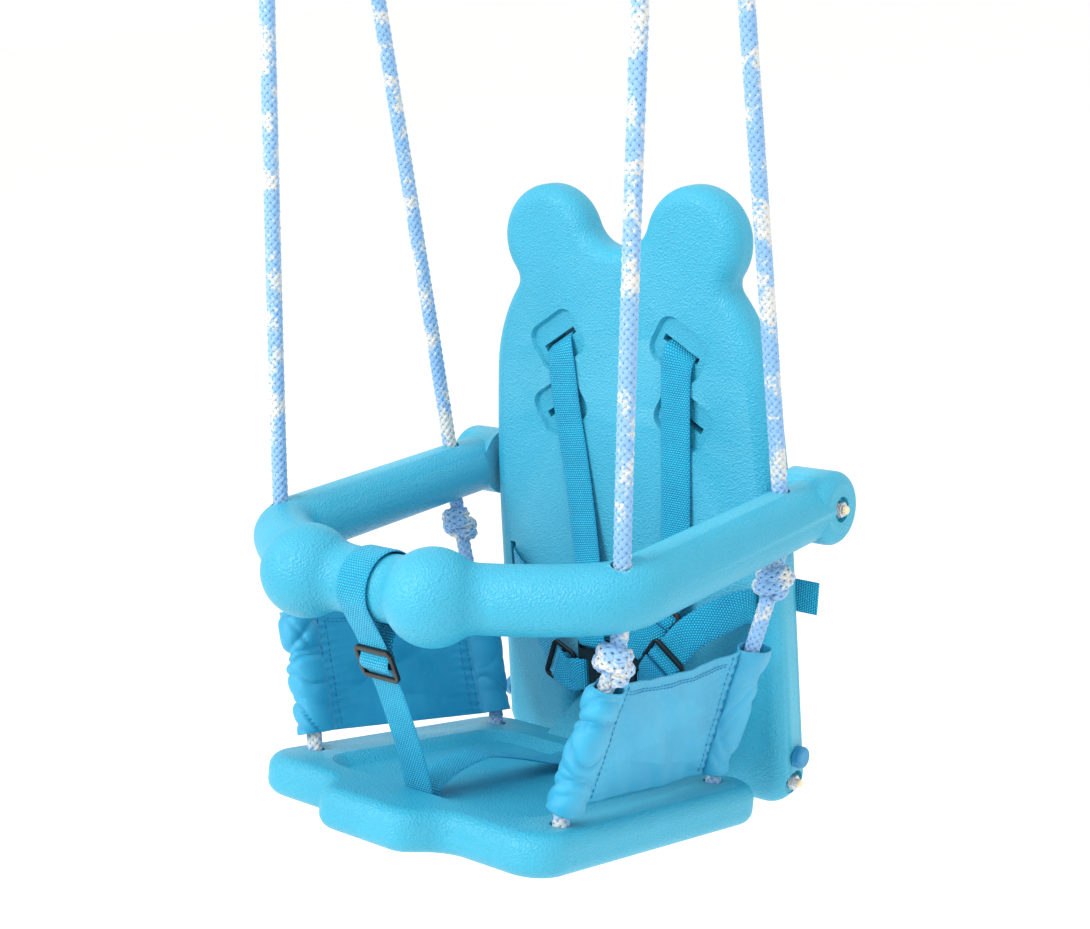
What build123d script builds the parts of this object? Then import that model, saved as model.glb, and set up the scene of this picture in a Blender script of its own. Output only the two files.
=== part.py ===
from build123d import *
import os
from math import acos, asin, atan2, cos, hypot, pi, radians, sin

os.makedirs("parts", exist_ok=True)

# Toddler bucket swing.  X is left to right, +Y runs from the guard bar to the
# backrest, +Z is up.  The origin is on the swing axis, midway between the two
# hanging rings, where the ropes bear on the ring wires.  Dimensions are given with
# the backrest upright, and every piece but the rings is then turned about the swing
# axis, so that the centre of mass hangs straight below it.

# ---------------------------------------------------------------- dimensions
DATUM_DROP = 904.0          # seat datum below the swing axis
HANG_LEAN = -3.911          # turn about the swing axis, in degrees, that balances the swing


def up(height):
    """Z of a height above the seat datum."""
    return height - DATUM_DROP


SIDES = {"left": -1, "right": 1}
FIT = 0.05                  # radial running fit of rods and pins

# hanging rings
RING_X = 163.0
RING_WIRE_R = 5.0
RING_MEAN_R = 35.0

# ropes
ROPE_R = 5.5
ROPE_HOLE_R = 6.5
ROPE_WRAP_R = 11.4          # rope centreline round the ring wire
WRAP_ARC_R = 11.0           # its arcs, with a short straight between them
ROPE_BEND_R = 25.0          # easing where the rope leaves a hole or a knot
WRAP_CORNERS = 4
ROPE_TAIL = 27.5            # rope below the seat's top face, through its knot
ROPE_TURN = 4.0             # where a rope turns square to the seat, above that face

# guard bar
BAR_H = 162.0
BAR_ARM_X = 150.5
BAR_TUBE_R = 22.0
BAR_FRONT_Y = -152.0
BAR_BOW_R = 226.0           # bowed front of the bar
BAR_CORNER_R = 36.0
BAR_WALL = 3.0
BAR_FRONT_ROPE_Y = -96.4
BAR_REAR_ROPE_Y = 84.0
BAR_ROPE_X = 150.5
PAW_X = 55.0                # rounded grips either side of the crotch strap
PAW_Y = -160.0
PAW_H = 166.0
PAW_R = 31.0
PAW_BLEND_R = 16.0
LOBE_R = 26.0
LOBE_IN_X = 132.6
LOBE_OUT_X = 172.4
LOBE_ROUND_R = 9.0
GUARD_AXIS_Y = 128.0

# backrest
BACK_FRONT_Y = 107.5
BACK_THICK = 33.0
BACK_ROUND_R = 13.0
BACK_WALL = 3.0
BACK_CAVITY_IN = 9.5
BACK_TOP_HALF = 60.0        # outline points of the backrest's right half
EAR_NECK = (80.0, 326.0)
SHOULDER_MIDDLE = (107.0, 293.0)
SIDE_MIDDLE = (128.0, 182.0)
EAR_VALLEY_X = 25.0         # where an ear meets the top edge, and its own neck
EAR_NECK_NEAR = (95.0, 317.0)
PAD_WALL = 6.0              # solid margins round the slots, in the hollow
SLOT_WALL = 18.0
PAD_TAPER = 30.0
FOOT_SOLID = 12.0           # solid foot above the lock pins
EAR_X = 65.0
EAR_H = 344.0
EAR_R = 40.0
VALLEY_H = 339.0
VALLEY_R = 25.0
NECK_R = 10.0
SHOULDER_X = 122.0
SHOULDER_H = 248.0
WAIST_HALF = 131.0
WAIST_H = 110.0
FOOT_HALF = 134.0
FOOT_FLARE_H = -42.0
FOOT_BOTTOM_H = -68.0
FOOT_ROUND_R = 24.0
NOTCH_HALF = 61.0
NOTCH_TOP_H = -8.0
NOTCH_ROUND_R = 14.5

# webbing and its slots
WEB_W = 25.0
WEB_T = 1.6
SLOT_L = 33.0
SLOT_W = 5.0
SLOT_SLANT = 31.0
SHOULDER_SLOTS = ((55.0, 269.5), (56.0, 219.0))
PAD_L = 47.0
PAD_W = 37.0
PAD_DEPTH = 3.5
PAD_ROUND_R = 11.0
WAIST_SLOT_X = 113.0
WAIST_SLOT_H = 87.0

# seat
SEAT_TILT = 14.0
SEAT_FRONT_Y = -120.6       # line of the front rope holes
SEAT_FRONT_H = 13.5
SEAT_THICK = 28.0
SEAT_HALF = 130.0
SEAT_LIP = -41.0            # front edge, along the slope from the front holes
SEAT_REAR = 219.0
SEAT_CORNER_R = 28.0
SEAT_ROUND_R = 10.0
SEAT_WALL = 3.0
POCKET_R = 12.6             # knot pockets in the seat's underside
POCKET_ROOF = 3.5
BULGE_OUT = -68.0
BULGE_TOP_HALF = 55.0
BULGE_TIP_HALF = 36.0
BULGE_ROUND_R = 20.0
DISH_HALF = 92.0
DISH_FROM = -18.0
DISH_TO = 176.0
DISH_DEPTH = 6.5
DISH_TAPER = 62.0
CROTCH_SLOT_V = -7.0
SEAT_FRONT_ROPE_X = 109.0
SEAT_REAR_ROPE_X = 100.0
SEAT_REAR_ROPE_Y = 61.0
TONGUE_HALF = 58.0
TONGUE_R = 14.0

# rods, nuts and pins
ROD_R = 3.0
NUT_AF = 10.0
NUT_H = 5.0
RECESS_R = 9.0
LOBE_RECESS = 4.0
GUARD_ROD_X = 177.0
HINGE_ROD_X = 138.5
HINGE_Y = 121.0
HINGE_H = -49.0
FOOT_RECESS_X = 129.0
WASHER_R = 7.5
WASHER_X = 129.7            # between the backrest and the guard bar's ends
WASHER_T = 2.5
NUT_GAP = 0.3               # between a nut and the face of its recess
PIN_Y = 123.0
PIN_H = -29.0
PIN_R = 5.0
PIN_HEAD_R = 8.0
PIN_HEAD_T = 6.5
PIN_HEAD_GAP = 0.4
PIN_TIP_X = 38.0

# buckle and sliders, measured from the middle of the buckle body
BUCKLE_Y = 84.0
BUCKLE_H = 20.0
BUCKLE_HALF = 13.0
BUCKLE_HALF_T = 6.5
BUCKLE_TOP = 14.5
BUCKLE_LOW = -21.0
CHANNEL_HALF_T = 3.2
CHANNEL_HALF_H = 9.0
LOOP_LOW = -32.0            # webbing bar under the buckle body
LOOP_SLOT_H = -25.75
LOOP_SLOT_W = 4.5
LOOP_HALF = 17.0
LOOP_HALF_T = 2.5
PRONG_IN = 3.0
PRONG_HALF_T = 2.8
PRONG_HALF_H = 8.0
CLIP_IN = 1.0
CLIP_NEAR = 13.5
CLIP_OUT = 31.0
CLIP_HALF_T = 3.5
CLIP_LOW = -19.0
CLIP_TOP = 26.0
CLIP_NECK = 15.5
CLIP_ROUND_R = 4.0
CLIP_SLOT_L = 26.5
WAIST_LOOP_X = 24.0
SHOULDER_LOOP_X = 16.0
SHOULDER_LOOP_H = 20.5
WAIST_LOOP_H = -2.5
BUTTON_R = 6.5
BUTTON_FRONT = 8.0
BUTTON_BACK = 4.9
BUTTON_BORE_GAP = 0.4
SLIDER_W = 33.0
SLIDER_L = 25.0
SLIDER_T = 3.0
SLIDER_BAR = 3.6
SLIDER_SLOT_L = 26.6
SLIDER_SLOT_W = 7.0
SLIDER_ROUND_R = 5.0
SLIDER_RISE = 3.1           # webbing passes this far in front of and behind its bars

# side panels
CLOTH_T = 2.4
CASING_OUT_R = 8.4
CASING_IN_R = 6.0
CASING_FRONT = (36.0, 123.0)    # from the bend in the rope, along it
CASING_REAR = (72.0, 170.0)
PANEL_FLAP_TOP = 24.0
PANEL_FLAP_LOW = 11.0

# webbing runs: x, y and height of mid-thickness points
UNDER_SEAT = 30.0
BELT_Y = 142.3              # first layer behind the backrest
LAYER = 2.4                 # pitch of stacked webbing layers
BAR_LOOP_R = 24.4
CROTCH_SLIDER_AT = (0.0, -159.0, 112.0)
CROTCH_RETURN_H = 118.0
HARNESS_RUN = ((-120.5, 15.5), (-112, 18.6), (-101, 19.6), (-86, 19.4), (-70, 17), (-50, 8),
               (-29, -2), (-8, -13), (14, -21), (35, -25), (56, -26))
WAIST_SLIDER_AT = {"left": (-54.0, 89.6, 19.0), "right": (57.0, 72.5, 47.0)}
WAIST_RUN = {
    "left": ((-107, 102.5, 85), (-98, 99.5, 76), (-84, 95.5, 55), (-70, 92.5, 32)),
    "right": ((108, 102.5, 88), (102, 96, 86.5), (92, 87.5, 81), (75, 77, 70)),
}
WAIST_END = {"left": 139.0, "right": 80.0}
BELT_STEP = (70.0, 77.0)    # where the long strap climbs over the end of the short one
SHOULDER_SLIDER_AT = {"left": (-27.0, 95.0, 80.0), "right": (39.0, 93.0, 71.0)}
SHOULDER_RUN = {
    "left": ((-51.5, 105.8, 258), (-49, 105.8, 222), (-42, 105.5, 170), (-36, 103, 120)),
    "right": ((53, 105.8, 258), (51, 105.8, 222), (49, 105.5, 170), (47, 103, 110)),
}
SHOULDER_END = 76.0


def save(piece, name, lean=HANG_LEAN):
    """Turn a finished piece to its hanging attitude, label it and write its STEP."""
    hung = piece.rotate(Axis.X, lean)
    hung.label = name
    export_step(hung, f"parts/{name}.step")


def nearest(shapes, *point):
    """The shape whose centre is closest to a point."""
    return shapes.sort_by_distance(point)[0]


# ---------------------------------------------------------------- frames of reference
BACK_PLANE = Plane(origin=(0, BACK_FRONT_Y, up(0)), x_dir=(1, 0, 0), z_dir=(0, -1, 0))
BACK_MID_Y = BACK_FRONT_Y + BACK_THICK / 2
tilt_sin = sin(radians(SEAT_TILT))
tilt_cos = cos(radians(SEAT_TILT))
SEAT_PLANE = Plane(
    origin=(0, SEAT_FRONT_Y, up(SEAT_FRONT_H)), x_dir=(1, 0, 0), z_dir=(0, tilt_sin, tilt_cos)
)


def on_seat(x, along, above):
    """World point from seat coordinates: across, down the slope, above the top face."""
    y = SEAT_FRONT_Y + along * tilt_cos + above * tilt_sin
    z = up(SEAT_FRONT_H) - along * tilt_sin + above * tilt_cos
    return (x, y, z)


REAR_HOLE_V = (SEAT_REAR_ROPE_Y - SEAT_FRONT_Y) / tilt_cos

# ---------------------------------------------------------------- hanging rings
for side, sign in SIDES.items():
    with BuildPart() as ring:
        with BuildSketch(Plane.XZ) as ring_section:
            with Locations((sign * RING_X + RING_MEAN_R, RING_MEAN_R)):
                Circle(RING_WIRE_R)
        revolve(axis=Axis((sign * RING_X, 0, RING_MEAN_R), (0, 0, 1)))
    turned = ring.part.rotate(Axis((sign * RING_X, 0, RING_MEAN_R), (1, 0, 0)), 90)
    save(turned, f"ring_{side}", lean=0)

# ---------------------------------------------------------------- ropes
BAR_TOP = BAR_H + BAR_TUBE_R
BAR_BOTTOM = BAR_H - BAR_TUBE_R
BEND_H = BAR_BOTTOM - 1.0
EXIT_H = BAR_TOP + 4.0


def seat_end(bend, seat_point):
    """End of a rope in the seat's pocket and its turn just above the seat, where it leans to its bend."""
    line = (Vector(*bend) - Vector(*seat_point)).normalized()
    square = SEAT_PLANE.z_dir
    turn = Vector(*seat_point) + line * ROPE_TURN
    return [turn - square * (ROPE_TURN * line.dot(square) + ROPE_TAIL), turn]


def ring_wrap(sign):
    """Route corners that carry the rope over the ring wire, front to rear."""
    front_drop = hypot(BAR_FRONT_ROPE_Y, up(EXIT_H))
    rear_drop = hypot(BAR_REAR_ROPE_Y, up(EXIT_H))
    front_angle = atan2(up(EXIT_H), BAR_FRONT_ROPE_Y) - acos(ROPE_WRAP_R / front_drop) + 2 * pi
    rear_angle = atan2(up(EXIT_H), BAR_REAR_ROPE_Y) + acos(ROPE_WRAP_R / rear_drop)
    step = (front_angle - rear_angle) / WRAP_CORNERS
    reach = ROPE_WRAP_R / cos(step / 2)
    corners = []
    for index in range(WRAP_CORNERS):
        angle = front_angle - step * (index + 0.5)
        corners.append((sign * RING_X, reach * cos(angle), reach * sin(angle)))
    return corners


def rope_route(sign):
    """One rope: seat, guard bar, over its ring, guard bar, seat."""
    front_bend = (sign * BAR_ROPE_X, BAR_FRONT_ROPE_Y, up(BEND_H))
    rear_bend = (sign * BAR_ROPE_X, BAR_REAR_ROPE_Y, up(BEND_H))
    front_seat = on_seat(sign * SEAT_FRONT_ROPE_X, 0, 0)
    rear_seat = on_seat(sign * SEAT_REAR_ROPE_X, REAR_HOLE_V, 0)
    route = seat_end(front_bend, front_seat) + [Vector(*front_bend)]
    route.append(Vector(sign * BAR_ROPE_X, BAR_FRONT_ROPE_Y, up(EXIT_H)))
    route += [Vector(*corner) for corner in ring_wrap(sign)]
    route.append(Vector(sign * BAR_ROPE_X, BAR_REAR_ROPE_Y, up(EXIT_H)))
    route += [Vector(*rear_bend)] + seat_end(rear_bend, rear_seat)[::-1]
    return route


rope_bends = [ROPE_BEND_R] * 3
for side, sign in SIDES.items():
    with BuildPart() as rope:
        with BuildLine() as rope_path:
            FilletPolyline(*rope_route(sign), radius=rope_bends + [WRAP_ARC_R] * WRAP_CORNERS + rope_bends)
        centreline = rope_path.wire()
        with BuildSketch(Plane(origin=centreline @ 0, z_dir=centreline % 0)) as rope_section:
            Circle(ROPE_R)
        sweep(path=centreline)
    ratio = rope.part.volume / (pi * ROPE_R**2 * centreline.length)
    print(f"rope_{side}: {centreline.length:.0f} mm, radii {ROPE_BEND_R} at the holes and knots,",
          f"{WRAP_ARC_R} round the ring, volume ratio {ratio:.4f}")
    save(rope.part, f"rope_{side}")

# ---------------------------------------------------------------- stopper knots
BAR_KNOT = (8.6, 7.0)       # middle radius and pitch of a knot's turns
SEAT_KNOT = (6.4, 5.4)      # the same, pulled tight in the seat's pocket
BAR_KNOT_DROP = 20.0        # centre of a knot under the bar, along the rope from its bend
SEAT_KNOT_UP = 12.8         # centre of a seat knot above the rope's end
KNOT_BORE_GAP = 0.1


def knot_body(centre, direction, waist, pitch):
    """Two fused turns of rope round its own standing part."""
    with BuildPart() as knot:
        with BuildSketch(Plane.XZ) as knot_section:
            with Locations((waist, pitch), (waist, 0), (waist, -pitch)):
                Circle(ROPE_R)
            with Locations((waist / 2, 0)):
                Rectangle(waist, pitch * 2)
            Rectangle(2 * (ROPE_R + KNOT_BORE_GAP), 2 * (pitch + 2 * ROPE_R), mode=Mode.SUBTRACT)
        revolve(axis=Axis.Z)
    return Plane(origin=centre, z_dir=direction).location * knot.part


for side, sign in SIDES.items():
    route = rope_route(sign)
    knots = []
    for end, turn, bend in (route[:3], route[:-4:-1]):
        seat_fall = (end - turn).normalized()
        bar_fall = (turn - bend).normalized()
        knots.append(knot_body(end - seat_fall * SEAT_KNOT_UP, seat_fall, *SEAT_KNOT))
        knots.append(knot_body(bend + bar_fall * BAR_KNOT_DROP, bar_fall, *BAR_KNOT))
    save(Compound(children=knots), f"knots_{side}")

# ---------------------------------------------------------------- backrest
def back_slots():
    """Slots of the shoulder straps: place on the backrest plane and slant."""
    for sign in SIDES.values():
        for x, height in SHOULDER_SLOTS:
            yield Location((sign * x, height), -sign * SLOT_SLANT)


with BuildSketch(mode=Mode.PRIVATE) as back_outline:
    with BuildLine() as half_outline:
        Line((0, VALLEY_H), (BACK_TOP_HALF, VALLEY_H))
        Line((BACK_TOP_HALF, VALLEY_H), EAR_NECK)
        ThreePointArc(EAR_NECK, SHOULDER_MIDDLE, (SHOULDER_X, SHOULDER_H))
        ThreePointArc((SHOULDER_X, SHOULDER_H), SIDE_MIDDLE, (WAIST_HALF, WAIST_H))
        Line((WAIST_HALF, WAIST_H), (FOOT_HALF, FOOT_FLARE_H))
        Line((FOOT_HALF, FOOT_FLARE_H), (FOOT_HALF, FOOT_BOTTOM_H))
        Line((FOOT_HALF, FOOT_BOTTOM_H), (NOTCH_HALF, FOOT_BOTTOM_H))
        Line((NOTCH_HALF, FOOT_BOTTOM_H), (NOTCH_HALF, NOTCH_TOP_H))
        Line((NOTCH_HALF, NOTCH_TOP_H), (0, NOTCH_TOP_H))
        Line((0, NOTCH_TOP_H), (0, VALLEY_H))
    make_face()
    mirror(about=Plane.YZ)
    with Locations((EAR_X, EAR_H), (-EAR_X, EAR_H)):
        Circle(EAR_R)
    for sign in SIDES.values():
        fillet(nearest(back_outline.vertices(), sign * EAR_VALLEY_X, VALLEY_H, 0), radius=VALLEY_R)
        fillet(nearest(back_outline.vertices(), sign * EAR_NECK_NEAR[0], EAR_NECK_NEAR[1], 0), radius=NECK_R)
        fillet(nearest(back_outline.vertices(), sign * FOOT_HALF, FOOT_BOTTOM_H, 0), radius=FOOT_ROUND_R)
        fillet(nearest(back_outline.vertices(), sign * NOTCH_HALF, FOOT_BOTTOM_H, 0), radius=NOTCH_ROUND_R)
        fillet(nearest(back_outline.vertices(), sign * NOTCH_HALF, NOTCH_TOP_H, 0), radius=NOTCH_ROUND_R)

with BuildPart() as back_cavity:
    with BuildSketch(BACK_PLANE.offset(-BACK_WALL)) as cavity_section:
        add(back_outline.sketch)
        offset(amount=-BACK_CAVITY_IN, kind=Kind.INTERSECTION)
        with Locations(*back_slots()):
            RectangleRounded(PAD_L + PAD_WALL, PAD_W + PAD_WALL, PAD_ROUND_R, mode=Mode.SUBTRACT)
        with Locations((WAIST_SLOT_X, WAIST_SLOT_H), (-WAIST_SLOT_X, WAIST_SLOT_H)):
            Rectangle(SLOT_W + SLOT_WALL, SLOT_L + PAD_WALL, mode=Mode.SUBTRACT)
        with Locations((0, BAR_H)):
            Rectangle(2 * WAIST_HALF, 4 * ROD_R, mode=Mode.SUBTRACT)
        with Locations((0, FOOT_BOTTOM_H)):
            Rectangle(2 * FOOT_HALF, 2 * (PIN_H + FOOT_SOLID - FOOT_BOTTOM_H), mode=Mode.SUBTRACT)
    extrude(amount=-(BACK_THICK - 2 * BACK_WALL))

with BuildPart() as backrest:
    with BuildSketch(BACK_PLANE) as back_face:
        add(back_outline.sketch)
    extrude(amount=-BACK_THICK)
    flats = backrest.faces().filter_by(Axis.Y)
    fillet(flats.edges(), radius=BACK_ROUND_R)
    with BuildSketch(BACK_PLANE) as pads:
        with Locations(*back_slots()):
            RectangleRounded(PAD_L, PAD_W, PAD_ROUND_R)
    extrude(amount=-PAD_DEPTH, taper=PAD_TAPER, mode=Mode.SUBTRACT)
    with BuildSketch(BACK_PLANE.offset(1)) as slots:
        with Locations(*back_slots()):
            Rectangle(SLOT_L, SLOT_W)
        with Locations((WAIST_SLOT_X, WAIST_SLOT_H), (-WAIST_SLOT_X, WAIST_SLOT_H)):
            Rectangle(SLOT_W, SLOT_L)
    extrude(amount=-(BACK_THICK + 2), mode=Mode.SUBTRACT)
    for y, height, radius in ((GUARD_AXIS_Y, BAR_H, ROD_R), (HINGE_Y, HINGE_H, ROD_R), (PIN_Y, PIN_H, PIN_R)):
        with Locations(Location((0, y, up(height)), (0, 90, 0))):
            Cylinder(radius + FIT, 2 * FOOT_HALF + 20, mode=Mode.SUBTRACT)
    for sign in SIDES.values():
        with Locations(Location((sign * (FOOT_RECESS_X + 10), HINGE_Y, up(HINGE_H)), (0, 90, 0))):
            Cylinder(RECESS_R, 20, mode=Mode.SUBTRACT)
    add(back_cavity.part, mode=Mode.SUBTRACT)
save(backrest.part, "backrest")

# ---------------------------------------------------------------- seat
with BuildSketch(mode=Mode.PRIVATE) as seat_outline:
    seat_length = SEAT_REAR - SEAT_LIP
    with Locations((0, SEAT_LIP + seat_length / 2)):
        RectangleRounded(2 * SEAT_HALF, seat_length, SEAT_CORNER_R)
    with BuildLine() as bulge_line:
        Polyline(
            (-BULGE_TOP_HALF, SEAT_LIP + 1), (-BULGE_TIP_HALF, BULGE_OUT),
            (BULGE_TIP_HALF, BULGE_OUT), (BULGE_TOP_HALF, SEAT_LIP + 1), close=True,
        )
    make_face()
    for sign in SIDES.values():
        fillet(nearest(seat_outline.vertices(), sign * BULGE_TIP_HALF, BULGE_OUT, 0), radius=BULGE_ROUND_R)
        fillet(nearest(seat_outline.vertices(), sign * BULGE_TOP_HALF, SEAT_LIP, 0), radius=BULGE_ROUND_R)

rope_ends = [rope_route(sign)[index] for sign in SIDES.values() for index in (0, -1)]
with BuildPart() as seat_cavity:
    with BuildSketch(SEAT_PLANE.offset(-DISH_DEPTH - SEAT_WALL)) as seat_cavity_section:
        add(seat_outline.sketch)
        offset(amount=-2 * SEAT_WALL - 2, kind=Kind.INTERSECTION)
        with Locations((0, SEAT_REAR)):
            Rectangle(2 * TONGUE_HALF + 12, 50, mode=Mode.SUBTRACT)
        with Locations((0, CROTCH_SLOT_V)):
            Rectangle(SLOT_L + 12, SLOT_W + 14, mode=Mode.SUBTRACT)
    extrude(amount=-(SEAT_THICK - DISH_DEPTH - 2 * SEAT_WALL))
    for end in rope_ends:
        with BuildSketch(Plane(origin=end, z_dir=SEAT_PLANE.z_dir)) as pocket_wall:
            Circle(POCKET_R + SEAT_WALL)
        extrude(amount=SEAT_THICK, mode=Mode.SUBTRACT)

with BuildPart() as seat:
    with BuildSketch(SEAT_PLANE) as seat_top:
        add(seat_outline.sketch)
    extrude(amount=-SEAT_THICK)
    seat_faces = seat.faces().filter_by(Axis(origin=(0, 0, 0), direction=SEAT_PLANE.z_dir))
    fillet(seat_faces.edges(), radius=SEAT_ROUND_R)
    with BuildSketch(SEAT_PLANE) as dish:
        with Locations((0, (DISH_FROM + DISH_TO) / 2)):
            RectangleRounded(2 * DISH_HALF, DISH_TO - DISH_FROM, SEAT_CORNER_R)
    extrude(amount=-DISH_DEPTH, taper=DISH_TAPER, mode=Mode.SUBTRACT)
    with BuildSketch(Plane.YZ) as tongue_side:
        with Locations((HINGE_Y, up(HINGE_H)), (PIN_Y, up(PIN_H)), on_seat(0, 200, -SEAT_THICK / 2)[1:]):
            Circle(TONGUE_R)
        make_hull()
    extrude(amount=TONGUE_HALF, both=True)
    with BuildSketch(SEAT_PLANE.offset(1)) as crotch_slot:
        with Locations((0, CROTCH_SLOT_V)):
            Rectangle(SLOT_L, SLOT_W)
    extrude(amount=-SEAT_THICK - 2, mode=Mode.SUBTRACT)
    for y, height, radius in ((HINGE_Y, HINGE_H, ROD_R), (PIN_Y, PIN_H, PIN_R)):
        with Locations(Location((0, y, up(height)), (0, 90, 0))):
            Cylinder(radius + FIT, 2 * TONGUE_HALF + 4, mode=Mode.SUBTRACT)
    for end in rope_ends:
        end_plane = Plane(origin=end, z_dir=SEAT_PLANE.z_dir)
        with BuildSketch(end_plane) as bore:
            Circle(ROPE_HOLE_R)
        extrude(amount=SEAT_THICK + ROPE_TURN, mode=Mode.SUBTRACT)
        with BuildSketch(end_plane.offset(-SEAT_WALL)) as pocket:
            Circle(POCKET_R)
        extrude(amount=SEAT_WALL + ROPE_TAIL - POCKET_ROOF, mode=Mode.SUBTRACT)
    add(seat_cavity.part, mode=Mode.SUBTRACT)
save(seat.part, "seat")

# ---------------------------------------------------------------- guard bar
bow_centre_y = BAR_FRONT_Y + BAR_BOW_R
corner_x = BAR_ARM_X - BAR_CORNER_R
corner_y = bow_centre_y - ((BAR_BOW_R - BAR_CORNER_R) ** 2 - corner_x**2) ** 0.5
corner_end = (
    corner_x * BAR_BOW_R / (BAR_BOW_R - BAR_CORNER_R),
    bow_centre_y + (corner_y - bow_centre_y) * BAR_BOW_R / (BAR_BOW_R - BAR_CORNER_R),
)
BAR_PLANE = Plane.XY.offset(up(BAR_H))


def bar_tube(radius, rear_y):
    """The bar's bent tube, its two ends at rear_y."""
    level = up(BAR_H)
    with BuildPart() as tube:
        with BuildLine() as centreline:
            arm = Line((BAR_ARM_X, rear_y, level), (BAR_ARM_X, corner_y, level))
            corner = TangentArc(arm @ 1, (*corner_end, level), tangent=arm % 1)
            bow = ThreePointArc(corner @ 1, (0, BAR_FRONT_Y, level), (-corner_end[0], corner_end[1], level))
            far_corner = TangentArc(bow @ 1, (-BAR_ARM_X, corner_y, level), tangent=bow % 1)
            Line(far_corner @ 1, (-BAR_ARM_X, rear_y, level))
        with BuildSketch(Plane(origin=arm @ 0, z_dir=arm % 0)) as tube_section:
            Circle(radius)
        sweep(path=centreline.wire())
    return tube.part


def across(x, y, height, sign=1):
    """Plane facing outward along X at a place on one side."""
    return Plane(origin=(sign * x, y, up(height)), x_dir=(0, 1, 0), z_dir=(sign, 0, 0))


def paw(sign, radius):
    """A ball-shaped grip, turned about the line of the bar."""
    lean = sign * asin(PAW_X / BAR_BOW_R)
    level = Plane(origin=(sign * PAW_X, PAW_Y, up(PAW_H)), x_dir=(cos(lean), sin(lean), 0), z_dir=(0, 0, 1))
    with BuildPart() as grip:
        with BuildSketch(level) as half_disc:
            Circle(radius)
            with Locations((0, -radius)):
                Rectangle(2 * radius, 2 * radius, mode=Mode.SUBTRACT)
        revolve(axis=Axis(level.origin, level.x_dir))
    return grip.part


ROPE_HOLES = [(sign * BAR_ROPE_X, y) for sign in SIDES.values() for y in (BAR_FRONT_ROPE_Y, BAR_REAR_ROPE_Y)]
bar_skin = bar_tube(BAR_TUBE_R, GUARD_AXIS_Y - WASHER_R)
bar_bore = bar_tube(BAR_TUBE_R - BAR_WALL, BAR_REAR_ROPE_Y + BAR_TUBE_R / 2)
paws = [paw(sign, PAW_R) for sign in SIDES.values()]
paw_hollows = [paw(sign, PAW_R - BAR_WALL) for sign in SIDES.values()]

with BuildPart() as bar_cavity:
    add(bar_bore)
    add(paw_hollows)
    with BuildSketch(BAR_PLANE.offset(-BAR_TUBE_R)) as posts:
        with Locations(*ROPE_HOLES):
            Circle(ROPE_HOLE_R + BAR_WALL)
    extrude(amount=2 * BAR_TUBE_R, mode=Mode.SUBTRACT)

lobes = []
for sign in SIDES.values():
    with BuildPart() as lobe:
        with BuildSketch(across(LOBE_IN_X, GUARD_AXIS_Y, BAR_H, sign)) as disc:
            Circle(LOBE_R)
        extrude(amount=LOBE_OUT_X - LOBE_IN_X)
        rims = lobe.edges().filter_by(GeomType.CIRCLE).sort_by(Axis.X, reverse=sign < 0)
        fillet(rims[-1], radius=LOBE_ROUND_R)
    lobes.append(lobe.part)

with BuildPart() as guard_bar:
    add(bar_skin)
    add(paws)
    grips = guard_bar.faces().filter_by(GeomType.SPHERE)
    fillet(grips.edges(), radius=PAW_BLEND_R)
    for sign in SIDES.values():
        with BuildSketch(across(0, GUARD_AXIS_Y, BAR_H, sign)) as backrest_room:
            Rectangle(2 * LOBE_R, 2 * LOBE_R)
        extrude(amount=LOBE_IN_X, mode=Mode.SUBTRACT)
    add(lobes)
    for sign in SIDES.values():
        with BuildSketch(across(LOBE_OUT_X - LOBE_RECESS, GUARD_AXIS_Y, BAR_H, sign)) as nut_recess:
            Circle(RECESS_R)
        extrude(amount=LOBE_RECESS, mode=Mode.SUBTRACT)
    with BuildSketch(across(0, GUARD_AXIS_Y, BAR_H)) as rod_bore:
        Circle(ROD_R + FIT)
    extrude(amount=LOBE_OUT_X, both=True, mode=Mode.SUBTRACT)
    with BuildSketch(BAR_PLANE) as rope_holes:
        with Locations(*ROPE_HOLES):
            Circle(ROPE_HOLE_R)
    extrude(amount=2 * BAR_TUBE_R, both=True, mode=Mode.SUBTRACT)
    add(bar_cavity.part, mode=Mode.SUBTRACT)
save(guard_bar.part, "guard_bar")


# ---------------------------------------------------------------- rods, nuts, washers and pins
def rod(half_length, y, height):
    """A threaded rod right across the swing, its ends chamfered."""
    with BuildPart() as bar:
        with BuildSketch(across(0, y, height)) as round_section:
            Circle(ROD_R)
        extrude(amount=half_length, both=True)
        chamfer(bar.edges().filter_by(GeomType.CIRCLE), length=0.8)
    return bar.part


def pair(x, y, height, thickness, radius, sides=0):
    """Two collars on a rod, round or hexagonal, one each side."""
    pieces = []
    for sign in SIDES.values():
        with BuildPart() as collar:
            with BuildSketch(across(x, y, height, sign)) as ring_face:
                if sides:
                    RegularPolygon(radius=radius, side_count=sides, major_radius=False)
                else:
                    Circle(radius)
                Circle(ROD_R + FIT, mode=Mode.SUBTRACT)
            extrude(amount=thickness)
            outer = collar.edges().filter_by(GeomType.CIRCLE if not sides else GeomType.LINE)
            chamfer(outer.filter_by(Plane.YZ) if sides else outer.sort_by(SortBy.RADIUS)[-2:], length=0.4)
        pieces.append(collar.part)
    return Compound(children=pieces)


save(rod(GUARD_ROD_X, GUARD_AXIS_Y, BAR_H), "guard_rod")
save(rod(HINGE_ROD_X, HINGE_Y, HINGE_H), "hinge_rod")
save(pair(LOBE_OUT_X - LOBE_RECESS + NUT_GAP, GUARD_AXIS_Y, BAR_H, NUT_H, NUT_AF / 2, 6), "guard_nuts")
save(pair(WASHER_X, GUARD_AXIS_Y, BAR_H, WASHER_T, WASHER_R), "guard_washers")
save(pair(FOOT_RECESS_X + NUT_GAP, HINGE_Y, HINGE_H, NUT_H, NUT_AF / 2, 6), "hinge_nuts")

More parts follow.
